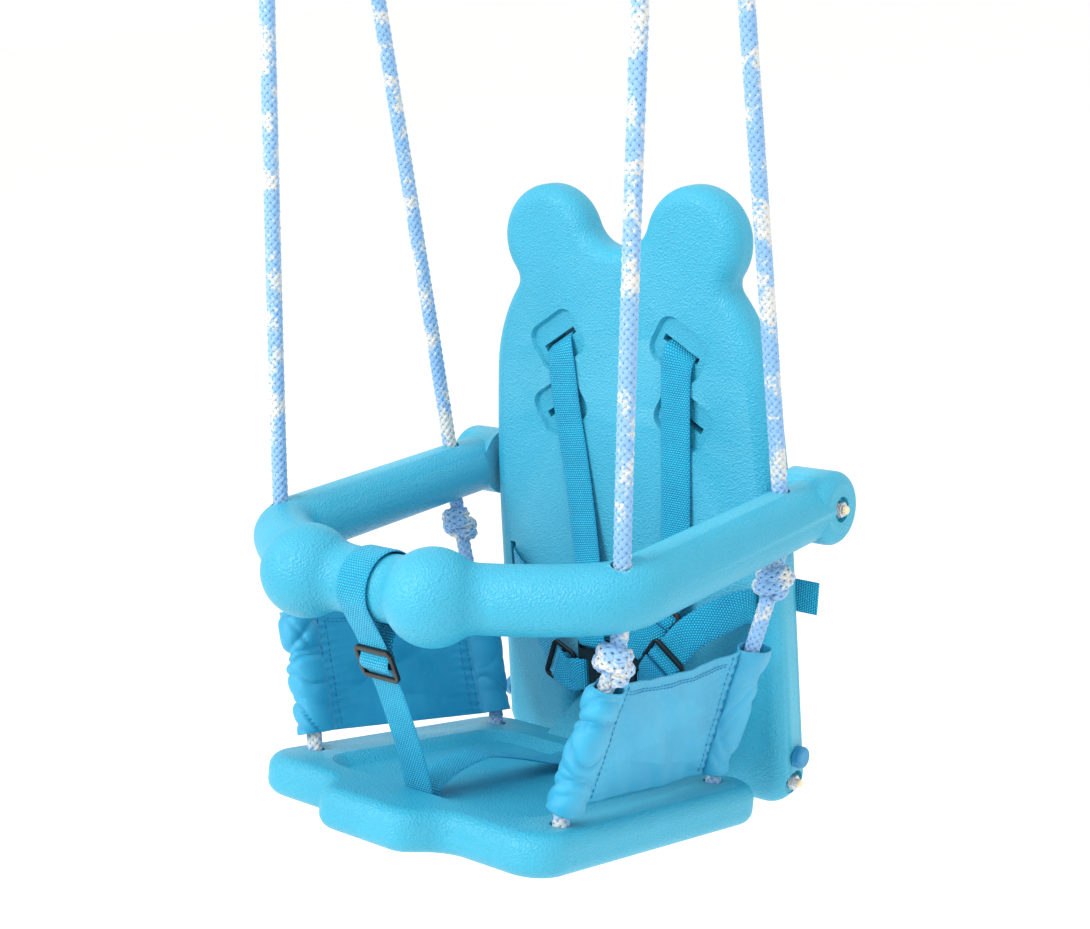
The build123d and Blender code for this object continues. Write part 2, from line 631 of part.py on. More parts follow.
for side, sign in SIDES.items():
    with BuildPart() as lock_pin:
        with BuildSketch(across(PIN_TIP_X, PIN_Y, PIN_H, sign)) as shank:
            Circle(PIN_R)
        extrude(amount=FOOT_HALF + PIN_HEAD_GAP + PIN_HEAD_T / 2 - PIN_TIP_X)
        with BuildSketch(across(FOOT_HALF + PIN_HEAD_GAP, PIN_Y, PIN_H, sign)) as head:
            Circle(PIN_HEAD_R)
        extrude(amount=PIN_HEAD_T)
        rims = lock_pin.edges().filter_by(GeomType.CIRCLE).sort_by(Axis.X)
        fillet(rims[-1 if sign > 0 else 0], radius=2.5)
        chamfer(rims[0 if sign > 0 else -1], length=1.5)
    save(lock_pin.part, f"lock_pin_{side}")

# ---------------------------------------------------------------- side panels
def rope_point(bend, turn, distance):
    """A place on a lower rope, measured from its bend."""
    return bend + (turn - bend).normalized() * distance

for side, sign in SIDES.items():
    route = rope_route(sign)
    front = [rope_point(route[2], route[1], distance) for distance in CASING_FRONT]
    rear = [rope_point(route[-3], route[-2], distance) for distance in CASING_REAR]
    chord = ((rear[0] - front[0]) + (rear[1] - front[1])).normalized()
    flap = [rear[0] + chord * PANEL_FLAP_TOP, rear[1] + chord * PANEL_FLAP_LOW]
    with BuildPart() as panel:
        for top, low in (front, rear, flap):
            fall = (low - top).normalized()
            edge = Plane(origin=(top + low) / 2, x_dir=fall, z_dir=chord - fall * chord.dot(fall))
            with BuildSketch(edge) as cloth_edge:
                Rectangle((low - top).length, CLOTH_T)
        loft(ruled=True)
        for top, low in (front, rear):
            with BuildSketch(Plane(origin=top, z_dir=low - top)) as casing:
                Circle(CASING_OUT_R)
            extrude(amount=(low - top).length)
        for top, low in (front, rear):
            middle = Plane(origin=(top + low) / 2, z_dir=low - top)
            with BuildSketch(middle) as casing_bore:
                Circle(CASING_IN_R)
            extrude(amount=(low - top).length, both=True, mode=Mode.SUBTRACT)
    save(panel.part, f"side_panel_{side}")


# ---------------------------------------------------------------- webbing
def at(x, y, height):
    """A point from its place and its height above the seat datum."""
    return Vector(x, y, up(height))


def ribbon(points, widths):
    """Webbing through mid-thickness points, its width along the given directions."""
    last = len(points) - 1
    with BuildPart() as band:
        for index, point in enumerate(points):
            wide = widths[index]
            ahead = points[min(index + 1, last)] - points[max(index - 1, 0)]
            with BuildSketch(Plane(origin=point, x_dir=wide, z_dir=ahead - wide * ahead.dot(wide))) as station:
                Rectangle(WEB_W, WEB_T)
        loft(ruled=True)
    return band.part


def folded_ribbon(points):
    """Webbing that lies square to X and folds back on itself."""
    with BuildPart() as band:
        with BuildSketch(Plane.YZ) as side_view:
            with BuildLine() as middle:
                Polyline(*[(point.Y, point.Z) for point in points])
            trace(line_width=WEB_T)
        extrude(amount=WEB_W / 2, both=True)
    return band.part


def blend_directions(first, last, count):
    """Width directions turning evenly from one to another."""
    return [(first * (count - step) + last * step).normalized() for step in range(1, count + 1)]


def through_slider(centre, run, facing):
    """Points behind, in front of and behind a slider's bars, along the run."""
    outer = SLIDER_BAR / 2 + SLIDER_SLOT_W - 0.8
    inner = SLIDER_BAR / 2 + 1
    places = ((-outer, -1), (-inner, 1), (inner, 1), (outer, -1))
    return [centre + run * along + facing * (side * SLIDER_RISE) for along, side in places]


def slider(centre, run, wide):
    """Three-bar slide lying across the webbing."""
    face = Plane(origin=centre, x_dir=wide, z_dir=wide.cross(run))
    with BuildPart() as frame:
        with BuildSketch(face) as bars:
            RectangleRounded(SLIDER_W, SLIDER_L, SLIDER_ROUND_R)
            offset_v = (SLIDER_BAR + SLIDER_SLOT_W) / 2
            with Locations((0, offset_v), (0, -offset_v)):
                Rectangle(SLIDER_SLOT_L, SLIDER_SLOT_W, mode=Mode.SUBTRACT)
        extrude(amount=SLIDER_T / 2, both=True)
        rims = frame.faces().filter_by(Axis(origin=(0, 0, 0), direction=face.z_dir))
        fillet(rims.edges(), radius=SLIDER_T / 4)
    return frame.part


X_AXIS = Vector(1, 0, 0)
Z_AXIS = Vector(0, 0, 1)


def under_seat(layer):
    """Both crotch webbings lie one on the other below the seat and rise through its slot."""
    v = CROTCH_SLOT_V - layer * LAYER / 2
    below = -SEAT_THICK - (3 + layer) * LAYER / 2
    flat = [on_seat(0, UNDER_SEAT, below), on_seat(0, v + LAYER, below)]
    return [Vector(*point) for point in flat + [on_seat(0, v, below + LAYER), on_seat(0, v, -1)]]


# crotch strap: seat, slider, once round the guard bar, back to the slider
slider_centre = at(*CROTCH_SLIDER_AT)
strap_foot = under_seat(1)
crotch_run = (slider_centre - strap_foot[-1]).normalized()
crotch_facing = Vector(0, -crotch_run.Z, crotch_run.Y)
bar_centre = at(0, BAR_FRONT_Y, BAR_H)
to_slider = slider_centre - bar_centre
fall_angle = atan2(to_slider.Z, to_slider.Y)
grip_angle = acos(BAR_LOOP_R / to_slider.length)
LOOP_STEPS = 16
crotch_points = strap_foot + through_slider(slider_centre, crotch_run, crotch_facing)
for step in range(LOOP_STEPS + 1):
    turn = fall_angle - grip_angle - (2 * pi - 2 * grip_angle) * step / LOOP_STEPS
    crotch_points.append(bar_centre + Vector(0, cos(turn), sin(turn)) * BAR_LOOP_R)
behind = slider_centre - crotch_facing * (SLIDER_RISE + LAYER)
crotch_points.append(behind + crotch_run * (SLIDER_L / 2 + LAYER))
crotch_points.append(behind + crotch_run * (SLIDER_BAR / 2))
save(folded_ribbon(crotch_points), "crotch_strap")
save(slider(slider_centre, crotch_run, X_AXIS), "crotch_slider")

# harness crotch strap: seat slot, over the seat, round the bar under the buckle
loop_h = BUCKLE_H + LOOP_SLOT_H
web_out = LOOP_HALF_T + WEB_T
harness_points = under_seat(-1) + [at(0, y, height) for y, height in HARNESS_RUN]
harness_points += [
    at(0, BUCKLE_Y - 2 * web_out, loop_h - 5 * LAYER),
    at(0, BUCKLE_Y + web_out, loop_h - 3 * LAYER),
    at(0, BUCKLE_Y + web_out, loop_h - LAYER / 2),
    at(0, BUCKLE_Y, loop_h),
    at(0, BUCKLE_Y - web_out, loop_h - LAYER / 2),
    at(0, BUCKLE_Y - web_out, loop_h - 2 * LAYER),
    at(0, BUCKLE_Y - 3.5 * web_out, loop_h - 5 * LAYER),
    at(0, BUCKLE_Y - 6 * web_out, loop_h - 6.5 * LAYER),
]
save(folded_ribbon(harness_points), "harness_crotch_strap")


# waist straps: clip, slider, slot, behind the backrest
def clip_loop(centre, inward, facing):
    """Webbing round a clip's bar: in front of it, through its slot and behind it."""
    side = CLIP_HALF_T + WEB_T
    return [
        centre - inward * (3 * LAYER) - facing * side, centre - inward * LAYER / 2 - facing * side,
        centre, centre - inward * LAYER / 2 + facing * side, centre - inward * (3 * LAYER) + facing * side,
    ]


def slider_run(before, place, after):
    """Direction of the webbing through a slider, half way between those on either side."""
    return ((place - before).normalized() + (after - place).normalized()).normalized()


FACING = Vector(0, -1, 0)
for side, sign in SIDES.items():
    outward = Vector(sign, 0, 0)
    loop = clip_loop(at(sign * WAIST_LOOP_X, BUCKLE_Y, BUCKLE_H + WAIST_LOOP_H), -outward, FACING)
    web_place = at(*WAIST_SLIDER_AT[side])
    run = slider_run(loop[0], web_place, at(*WAIST_RUN[side][-1]))
    facing = (FACING - run * FACING.dot(run)).normalized()
    centre = web_place + facing * SLIDER_RISE
    wide = run.cross(facing) * -sign
    threaded = through_slider(centre, run, facing)
    sewn_end = centre + facing * (SLIDER_RISE + LAYER) - run * (SLIDER_BAR / 2)
    over = centre + facing * (SLIDER_RISE + LAYER) - run * (SLIDER_L / 2 + LAYER)
    belt_turn = sign * (WAIST_SLOT_X - LAYER / 2)
    slot_front = at(sign * WAIST_SLOT_X, BACK_FRONT_Y + 1, WAIST_SLOT_H)
    slot_rear = at(sign * WAIST_SLOT_X, BELT_Y - 2 * LAYER, WAIST_SLOT_H)
    visible = [at(*place) for place in reversed(WAIST_RUN[side])]
    points = [sewn_end, over] + loop[::-1] + threaded + visible + [slot_front, slot_rear]
    widths = [wide] * 2 + [Z_AXIS] * len(loop) + [wide] * len(threaded)
    widths += blend_directions(wide, Z_AXIS, len(visible)) + [Z_AXIS] * 2
    if side == "left":
        points += [at(belt_turn, BELT_Y, WAIST_SLOT_H), at(BELT_STEP[0], BELT_Y, WAIST_SLOT_H)]
        points += [at(BELT_STEP[1], BELT_Y + LAYER, WAIST_SLOT_H)]
        points += [at(WAIST_SLOT_X + LAYER, BELT_Y + LAYER, WAIST_SLOT_H)]
        points += [at(WAIST_END["left"], BELT_Y + 3 * LAYER, WAIST_SLOT_H - LAYER)]
    else:
        points += [at(belt_turn, BELT_Y, WAIST_SLOT_H), at(WAIST_END["right"], BELT_Y, WAIST_SLOT_H)]
    widths += [Z_AXIS] * (len(points) - len(widths))
    save(ribbon(points, widths), f"waist_strap_{side}")
    save(slider(centre, run, wide), f"waist_slider_{side}")

# shoulder straps: clip, slider, slanted slot, down behind the backrest to the belt
slot_x, slot_h = SHOULDER_SLOTS[0]
for side, sign in SIDES.items():
    upward = Vector(0, 0, 1)
    loop = clip_loop(at(sign * SHOULDER_LOOP_X, BUCKLE_Y, BUCKLE_H + SHOULDER_LOOP_H), -upward, FACING)
    web_place = at(*SHOULDER_SLIDER_AT[side])
    run = slider_run(loop[0], web_place, at(*SHOULDER_RUN[side][-1]))
    facing = (FACING - run * FACING.dot(run)).normalized()
    centre = web_place + facing * SLIDER_RISE
    wide = run.cross(facing)
    slanted = Vector(cos(radians(SLOT_SLANT)), 0, -sign * sin(radians(SLOT_SLANT)))
    threaded = through_slider(centre, run, facing)
    sewn_end = centre + facing * (SLIDER_RISE + LAYER) - run * (SLIDER_BAR / 2)
    over = centre + facing * (SLIDER_RISE + LAYER) - run * (SLIDER_L / 2 + LAYER)
    visible = [at(*place) for place in reversed(SHOULDER_RUN[side])]
    points = [sewn_end, over] + loop[::-1] + threaded + visible
    points += [at(sign * slot_x, BACK_FRONT_Y + PAD_DEPTH, slot_h), at(sign * slot_x, BELT_Y - LAYER, slot_h)]
    points += [at(sign * (slot_x - LAYER), BELT_Y, slot_h - LAYER), at(sign * slot_x, BELT_Y, slot_h / 2)]
    points += [at(sign * (slot_x - LAYER), BELT_Y + LAYER, WAIST_SLOT_H + WEB_W / 2 + LAYER)]
    points += [at(sign * (slot_x - LAYER), BELT_Y + LAYER, SHOULDER_END)]
    widths = [wide] * 2 + [X_AXIS] * len(loop) + [wide] * len(threaded)
    widths += blend_directions(wide, slanted, len(visible)) + [slanted] * 3
    widths += [X_AXIS] * (len(points) - len(widths))
    save(ribbon(points, widths), f"shoulder_strap_{side}")
    save(slider(centre, run, wide), f"shoulder_slider_{side}")

# ---------------------------------------------------------------- buckle
BUCKLE_PLANE = Plane(origin=(0, BUCKLE_Y, up(BUCKLE_H)), x_dir=(1, 0, 0), z_dir=(0, -1, 0))

with BuildPart() as buckle_body:
    with BuildSketch(BUCKLE_PLANE) as shell_face:
        with Locations((0, (BUCKLE_TOP + BUCKLE_LOW) / 2)):
            RectangleRounded(2 * BUCKLE_HALF, BUCKLE_TOP - BUCKLE_LOW, CLIP_ROUND_R)
    extrude(amount=BUCKLE_HALF_T, both=True)
    fillet(buckle_body.faces().filter_by(Axis.Y).edges(), radius=CLIP_ROUND_R / 2)
    with BuildSketch(BUCKLE_PLANE) as loop_face:
        with Locations((0, (LOOP_LOW + BUCKLE_LOW + 1) / 2)):
            RectangleRounded(2 * LOOP_HALF, BUCKLE_LOW + 1 - LOOP_LOW, CLIP_ROUND_R)
    extrude(amount=LOOP_HALF_T, both=True)
    with BuildSketch(BUCKLE_PLANE) as loop_slot:
        with Locations((0, LOOP_SLOT_H)):
            Rectangle(CLIP_SLOT_L, LOOP_SLOT_W)
    extrude(amount=2 * BUCKLE_HALF_T, both=True, mode=Mode.SUBTRACT)
    with BuildSketch(across(0, BUCKLE_Y, BUCKLE_H)) as channel:
        Rectangle(2 * CHANNEL_HALF_T, 2 * CHANNEL_HALF_H)
    extrude(amount=BUCKLE_HALF + 1, both=True, mode=Mode.SUBTRACT)
    with BuildSketch(BUCKLE_PLANE) as button_bore:
        Circle(BUTTON_R + BUTTON_BORE_GAP)
    extrude(amount=2 * BUCKLE_HALF_T, mode=Mode.SUBTRACT)
save(buckle_body.part, "buckle_body")

with BuildPart() as button:
    with BuildSketch(BUCKLE_PLANE.offset(BUTTON_BACK)) as button_face:
        Circle(BUTTON_R)
    extrude(amount=BUTTON_FRONT - BUTTON_BACK)
    fillet(button.edges().filter_by(GeomType.CIRCLE).sort_by(Axis.Y)[0], radius=1)
save(button.part, "buckle_button")

for side, sign in SIDES.items():
    with BuildPart() as clip:
        with BuildSketch(BUCKLE_PLANE) as clip_face:
            with Locations((sign * (CLIP_NEAR + CLIP_OUT) / 2, (CLIP_LOW + CLIP_TOP) / 2)):
                RectangleRounded(CLIP_OUT - CLIP_NEAR, CLIP_TOP - CLIP_LOW, CLIP_ROUND_R)
            with Locations((sign * (CLIP_IN + CLIP_OUT) / 2, (CLIP_NECK + CLIP_TOP) / 2)):
                RectangleRounded(CLIP_OUT - CLIP_IN, CLIP_TOP - CLIP_NECK, CLIP_ROUND_R)
            with Locations((sign * WAIST_LOOP_X, WAIST_LOOP_H)):
                Rectangle(LOOP_SLOT_W, CLIP_SLOT_L, mode=Mode.SUBTRACT)
            with Locations((sign * SHOULDER_LOOP_X, SHOULDER_LOOP_H)):
                Rectangle(CLIP_SLOT_L, LOOP_SLOT_W, mode=Mode.SUBTRACT)
        extrude(amount=CLIP_HALF_T, both=True)
        with BuildSketch(BUCKLE_PLANE) as prong_face:
            with Locations((sign * (PRONG_IN + CLIP_NEAR + 1) / 2, 0)):
                RectangleRounded(CLIP_NEAR + 1 - PRONG_IN, 2 * PRONG_HALF_H, 2)
        extrude(amount=PRONG_HALF_T, both=True)
    save(clip.part, f"buckle_clip_{side}")
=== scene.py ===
from math import acos, atan2, cos, hypot, pi, radians, sin

import bpy
import numpy as np
from mathutils import Matrix, Vector


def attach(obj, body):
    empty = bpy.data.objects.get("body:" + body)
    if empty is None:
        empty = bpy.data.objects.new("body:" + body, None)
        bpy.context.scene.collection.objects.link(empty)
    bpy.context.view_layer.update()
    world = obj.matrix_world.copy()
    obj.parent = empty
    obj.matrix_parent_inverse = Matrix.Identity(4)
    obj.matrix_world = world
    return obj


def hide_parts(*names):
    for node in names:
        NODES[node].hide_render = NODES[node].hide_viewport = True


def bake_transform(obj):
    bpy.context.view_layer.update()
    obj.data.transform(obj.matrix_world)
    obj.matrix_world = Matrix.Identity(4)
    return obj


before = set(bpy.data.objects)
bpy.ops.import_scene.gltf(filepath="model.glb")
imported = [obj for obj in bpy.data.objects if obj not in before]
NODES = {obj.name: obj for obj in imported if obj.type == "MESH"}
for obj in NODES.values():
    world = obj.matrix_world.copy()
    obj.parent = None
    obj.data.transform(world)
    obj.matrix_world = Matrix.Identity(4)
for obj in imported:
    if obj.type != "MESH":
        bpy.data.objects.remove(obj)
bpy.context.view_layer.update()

# Lengths are in mm, times MM for metres, unless a comment says otherwise. "left" is -X and "right" is +X.
MM = 0.001
SIDES = {"left": -1, "right": 1}
DATUM = -904.0              # seat datum, from the swing axis
HANG_LEAN = -3.911          # degrees about the swing axis, which balance the hanging swing
LEAN = Matrix.Rotation(radians(HANG_LEAN), 3, "X")


def at(x, y, height):
    """A point in metres from a place in mm and a height above the seat datum, backrest upright."""
    return LEAN @ Vector((x * MM, y * MM, (height + DATUM) * MM))


# ------------------------------------------------------------------ camera
LENS = 55.9
SENSOR = 36.0
NEAR_CLIP = 0.05            # metres
VIEW_FROM = LEAN @ Vector((0.738, -0.8587, -0.4104))
VIEW_RIGHT = LEAN @ Vector((0.7737, 0.6305, -0.0611)).normalized()
VIEW_BACK = LEAN @ Vector((0.6238, -0.7413, 0.2477)).normalized()
VIEW_UP = VIEW_BACK.cross(VIEW_RIGHT).normalized()

camera_data = bpy.data.cameras.new("camera")
camera_data.lens = LENS
camera_data.sensor_width = SENSOR
camera_data.clip_start = NEAR_CLIP
camera = bpy.data.objects.new("camera", camera_data)
bpy.context.scene.collection.objects.link(camera)
view_turn = Matrix((VIEW_RIGHT, VIEW_UP, VIEW_BACK)).transposed().to_4x4()
camera.matrix_world = Matrix.Translation(VIEW_FROM) @ view_turn
bpy.context.scene.camera = camera


# ------------------------------------------------------------------ material helpers
def linear(red, green, blue):
    """Display colour, 0 to 255, as a linear colour."""
    channels = []
    for value in (red, green, blue):
        c = value / 255
        channels.append(c / 12.92 if c <= 0.04045 else ((c + 0.055) / 1.055) ** 2.4)
    return (*channels, 1.0)


MIX_INPUTS = (0, 6, 7)      # factor and the two colours of a Mix node, and its colour result
MIX_RESULT = 2


class Paint:
    """A Principled material and short ways of adding nodes to it."""

    def __init__(self, name, roughness, specular=0.5):
        self.material = bpy.data.materials.new(name)
        self.material.use_nodes = True
        self.tree = self.material.node_tree
        self.shader = self.tree.nodes["Principled BSDF"]
        self.shader.inputs["Roughness"].default_value = roughness
        self.shader.inputs["Specular IOR Level"].default_value = specular
        self.place = self.tree.nodes.new("ShaderNodeTexCoord").outputs["Object"]

    def node(self, kind, **settings):
        made = self.tree.nodes.new(kind)
        for key, value in settings.items():
            setattr(made, key, value)
        return made

    def link(self, source, target):
        self.tree.links.new(source, target)

    def noise(self, scale, detail):
        made = self.node("ShaderNodeTexNoise")
        made.inputs["Scale"].default_value = scale
        made.inputs["Detail"].default_value = detail
        self.link(self.place, made.inputs["Vector"])
        return made.outputs["Fac"]

    def ramp(self, source, stops):
        made = self.node("ShaderNodeValToRGB")
        while len(made.color_ramp.elements) < len(stops):
            made.color_ramp.elements.new(0.5)
        for element, (position, colour) in zip(made.color_ramp.elements, stops):
            element.position = position
            element.color = colour
        self.link(source, made.inputs["Fac"])
        return made.outputs["Color"]

    def math(self, operation, first, second=None):
        made = self.node("ShaderNodeMath", operation=operation)
        for index, value in enumerate((first, second)):
            if isinstance(value, (int, float)):
                made.inputs[index].default_value = value
            elif value is not None:
                self.link(value, made.inputs[index])
        return made.outputs["Value"]

    def mix(self, factor, first, second, blend="MIX"):
        made = self.node("ShaderNodeMix", data_type="RGBA", blend_type=blend)
        for index, value in zip(MIX_INPUTS, (factor, first, second)):
            self.set_or_link(made.inputs[index], value)
        return made.outputs[MIX_RESULT]

    def set_or_link(self, socket, value):
        if isinstance(value, bpy.types.NodeSocket):
            self.link(value, socket)
        else:
            socket.default_value = value

    def colour(self, value):
        self.set_or_link(self.shader.inputs["Base Color"], value)

    def roughness(self, source, low, high):
        made = self.node("ShaderNodeMapRange")
        made.inputs["To Min"].default_value = low
        made.inputs["To Max"].default_value = high
        self.link(source, made.inputs["Value"])
        self.link(made.outputs["Result"], self.shader.inputs["Roughness"])

    def bump(self, height, distance, strength, after=None):
        made = self.node("ShaderNodeBump")
        made.inputs["Distance"].default_value = distance
        made.inputs["Strength"].default_value = strength
        self.link(height, made.inputs["Height"])
        if after is not None:
            self.link(after, made.inputs["Normal"])
        self.link(made.outputs["Normal"], self.shader.inputs["Normal"])
        return made.outputs["Normal"]


# ------------------------------------------------------------------ materials
RIB_PITCH = 0.0034          # metres, as are the pitches below
YARN_PITCH = 0.0021
BOUND_EDGE = 0.0112         # where the webbing's bound edge starts, from its middle
CLOTH_PITCH = 0.0009
SCREW_PITCH = 0.001
WHITE = linear(255, 255, 255)


def wave(paint, source, pitch):
    """A sine along a coordinate in metres."""
    return paint.math("SINE", paint.math("MULTIPLY", source, 2 * pi / pitch))


def woven(paint):
    """The two coordinates of the "weave" UV layer, in metres: across and along."""
    parts = paint.node("ShaderNodeSeparateXYZ")
    paint.link(paint.node("ShaderNodeUVMap", uv_map="weave").outputs["UV"], parts.inputs[0])
    return parts.outputs["X"], parts.outputs["Y"]


def shell_paint():
    """Blow-moulded turquoise plastic with a fine leathery grain, paler on its sharp outer edges."""
    paint = Paint("shell_plastic", 0.42)
    cells = paint.node("ShaderNodeTexVoronoi", feature="SMOOTH_F1")
    cells.inputs["Scale"].default_value = 720
    cells.inputs["Smoothness"].default_value = 0.5
    warped = paint.mix(0.0012, paint.place, paint.noise(260, 2), "ADD")
    paint.link(warped, cells.inputs["Vector"])
    cloud = paint.noise(9, 3)
    base = paint.ramp(cloud, ((0.35, linear(46, 164, 194)), (0.65, linear(53, 171, 202))))
    pores = paint.ramp(cells.outputs["Distance"], ((0.0, WHITE), (0.9, linear(224, 238, 243))))
    tinted = paint.mix(0.5, base, pores, "MULTIPLY")
    # paler towards sharp outer edges, where the surface is most convex
    convex_edges = paint.ramp(paint.node("ShaderNodeNewGeometry").outputs["Pointiness"],
                      ((0.52, (0, 0, 0, 1)), (0.60, (1, 1, 1, 1))))
    paint.colour(paint.mix(paint.math("MULTIPLY", convex_edges, 0.22), tinted, linear(150, 224, 240)))
    paint.roughness(paint.noise(35, 3), 0.36, 0.5)
    coarse = paint.bump(paint.noise(900, 2), 0.0003, 0.35)
    paint.bump(cells.outputs["Distance"], 0.0009, 0.75, coarse)
    return paint.material


def rope_paint():
    """Braided polypropylene: light blue yarns with patches of cream."""
    paint = Paint("rope_braid", 0.5, 0.4)
    paint.shader.inputs["Sheen Weight"].default_value = 0.25
    patch = paint.noise(46, 2.5)
    speck = paint.noise(360, 2)
    mixed = paint.math("ADD", paint.math("MULTIPLY", patch, 0.66), paint.math("MULTIPLY", speck, 0.34))
    tone = paint.ramp(mixed, ((0.0, linear(116, 168, 218)), (0.51, linear(144, 190, 230)),
                              (0.57, linear(220, 220, 214)), (1.0, linear(238, 235, 228))))
    fibre = paint.noise(2600, 2)
    shade = paint.ramp(fibre, ((0.3, linear(215, 222, 232)), (0.7, WHITE)))
    paint.colour(paint.mix(0.7, tone, shade, "MULTIPLY"))
    paint.bump(fibre, 0.0005, 0.5)
    return paint.material


def webbing_paint():
    """Ribbed dotted weave, read from the webbing's own width and length in metres."""
    paint = Paint("webbing_weave", 0.5, 0.4)
    paint.shader.inputs["Sheen Weight"].default_value = 0.05
    across, along = woven(paint)
    rib = wave(paint, along, RIB_PITCH)
    shift = paint.math("MULTIPLY", paint.math("SIGN", rib), pi / 2)
    phase = paint.math("ADD", paint.math("MULTIPLY", across, 2 * pi / YARN_PITCH), shift)
    yarn = paint.math("SINE", phase)
    dots = paint.math("MULTIPLY", paint.math("ABSOLUTE", rib), paint.math("ADD", yarn, 1.2))
    tone = paint.ramp(paint.math("MULTIPLY", dots, 0.45),
                      ((0.0, linear(0, 116, 164)), (0.2, linear(0, 172, 216)), (0.8, linear(44, 216, 246))))
    edge = paint.math("GREATER_THAN", paint.math("ABSOLUTE", across), BOUND_EDGE)
    toned = paint.mix(paint.math("MULTIPLY", edge, 0.5), tone, linear(10, 154, 204))
    cloud = paint.ramp(paint.noise(60, 2), ((0.3, linear(226, 236, 242)), (0.7, WHITE)))
    paint.colour(paint.mix(0.8, toned, cloud, "MULTIPLY"))
    paint.bump(dots, 0.0007, 0.8)
    return paint.material


def cloth_paint():
    """Plain-woven nylon with a soft sheen."""
    paint = Paint("panel_nylon", 0.34, 0.55)
    paint.shader.inputs["Sheen Weight"].default_value = 0.32
    paint.shader.inputs["Sheen Roughness"].default_value = 0.35
    paint.shader.inputs["Sheen Tint"].default_value = linear(190, 236, 250)
    across, along = woven(paint)
    weave = paint.math("MULTIPLY", wave(paint, across, CLOTH_PITCH), wave(paint, along, CLOTH_PITCH))
    cloud = paint.ramp(paint.noise(24, 4), ((0.3, linear(30, 158, 198)), (0.7, linear(48, 174, 212))))
    thread = paint.ramp(weave, ((0.0, linear(226, 238, 246)), (1.0, WHITE)))
    paint.colour(paint.mix(0.5, cloud, thread, "MULTIPLY"))
    creased = paint.bump(paint.noise(90, 4), 0.0022, 0.5)
    paint.bump(weave, 0.0002, 0.4, creased)
    return paint.material


def plastic_paint(name, low, high, roughness, grain):
    """Moulded plastic with a faint grain."""
    paint = Paint(name, roughness)
    paint.colour(paint.ramp(paint.noise(70, 3), ((0.35, low), (0.65, high))))
    paint.roughness(paint.noise(150, 2), roughness - 0.06, roughness + 0.08)
    paint.bump(paint.noise(grain, 2), 0.0002, 0.4)
    return paint.material


def zinc_paint(name, tip):
    """Zinc-plated steel, with a cream end cap beyond a distance in metres from the swing's middle."""
    paint = Paint(name, 0.3)
    parts = paint.node("ShaderNodeSeparateXYZ")
    paint.link(paint.place, parts.inputs[0])
    capped = paint.math("GREATER_THAN", paint.math("ABSOLUTE", parts.outputs["X"]), tip)
    steel = paint.ramp(paint.noise(500, 3), ((0.3, linear(176, 180, 184)), (0.7, linear(218, 221, 224))))
    paint.colour(paint.mix(capped, steel, linear(232, 212, 172)))
    bare = paint.math("SUBTRACT", 1.0, capped)
    paint.link(bare, paint.shader.inputs["Metallic"])
    thread = wave(paint, parts.outputs["X"], SCREW_PITCH)
    paint.bump(paint.math("MULTIPLY", thread, bare), 0.0003, 0.6)
    return paint.material


SHELL = shell_paint()
ROPE = rope_paint()
WEBBING = webbing_paint()
CLOTH = cloth_paint()
BLACK = plastic_paint("black_plastic", linear(9, 10, 12), linear(19, 20, 23), 0.33, 900)
PIN = plastic_paint("pin_plastic", linear(28, 124, 170), linear(38, 138, 184), 0.4, 700)
THREAD = plastic_paint("stitching_thread", linear(26, 122, 172), linear(42, 142, 192), 0.55, 2500)

# ------------------------------------------------------------------ ropes
ROPE_D = 11 * MM
RING_X = 163.0
WRAP_R = 11.4               # rope's middle line round the ring's wire
WRAP_CORNERS = 4
BAR_ROPE_X = 150.5          # rope holes in the guard bar
BAR_Y = {"front": -96.4, "rear": 84.0}
BEND_H = 139.0              # bend under the bar, and where a rope leaves its top
EXIT_H = 188.0
EASE = 66.0                 # six diameters along a long straight run
NEAR_TURN = 31.0            # as far from a rope's turn as its end is
ROPE_TAIL = 27.5            # rope's end below the seat's top, and its turn above it
ROPE_TURN = 4.0
SEAT_TILT = radians(14)
SEAT_FRONT_Y = -120.6
SEAT_FRONT_H = 13.5
SEAT_REAR_Y = 61.0
SEAT_HOLES = {"front": (109.0, 0.0), "rear": (100.0, (SEAT_REAR_Y - SEAT_FRONT_Y) / cos(SEAT_TILT))}
BAR_KNOT_DROP = 20.0        # middle of a bar knot below its bend
SEAT_KNOT_UP = 12.8         # middle of a seat knot above the rope's end
ROUTE_RESOLUTION = 40


def on_seat(x, along, above):
    """A point from the seat's own coordinates: across, down its slope, above its top."""
    y = SEAT_FRONT_Y + along * cos(SEAT_TILT) + above * sin(SEAT_TILT)
    return at(x, y, SEAT_FRONT_H - along * sin(SEAT_TILT) + above * cos(SEAT_TILT))


def half_route(sign, which):
    """One half of a rope, from its end in the seat's pocket to the start of its run to the ring."""
    bend = at(sign * BAR_ROPE_X, BAR_Y[which], BEND_H)
    x, along = SEAT_HOLES[which]
    seat = on_seat(sign * x, along, 0)
    rise = (bend - seat).normalized()
    square = (on_seat(0, 0, 1) - on_seat(0, 0, 0)).normalized()
    turn = seat + rise * ROPE_TURN * MM
    end = turn - square * (ROPE_TURN * rise.dot(square) + ROPE_TAIL) * MM
    leave = at(sign * BAR_ROPE_X, BAR_Y[which], EXIT_H)
    return [end, turn, turn + rise * NEAR_TURN * MM, bend - rise * EASE * MM, bend, leave]


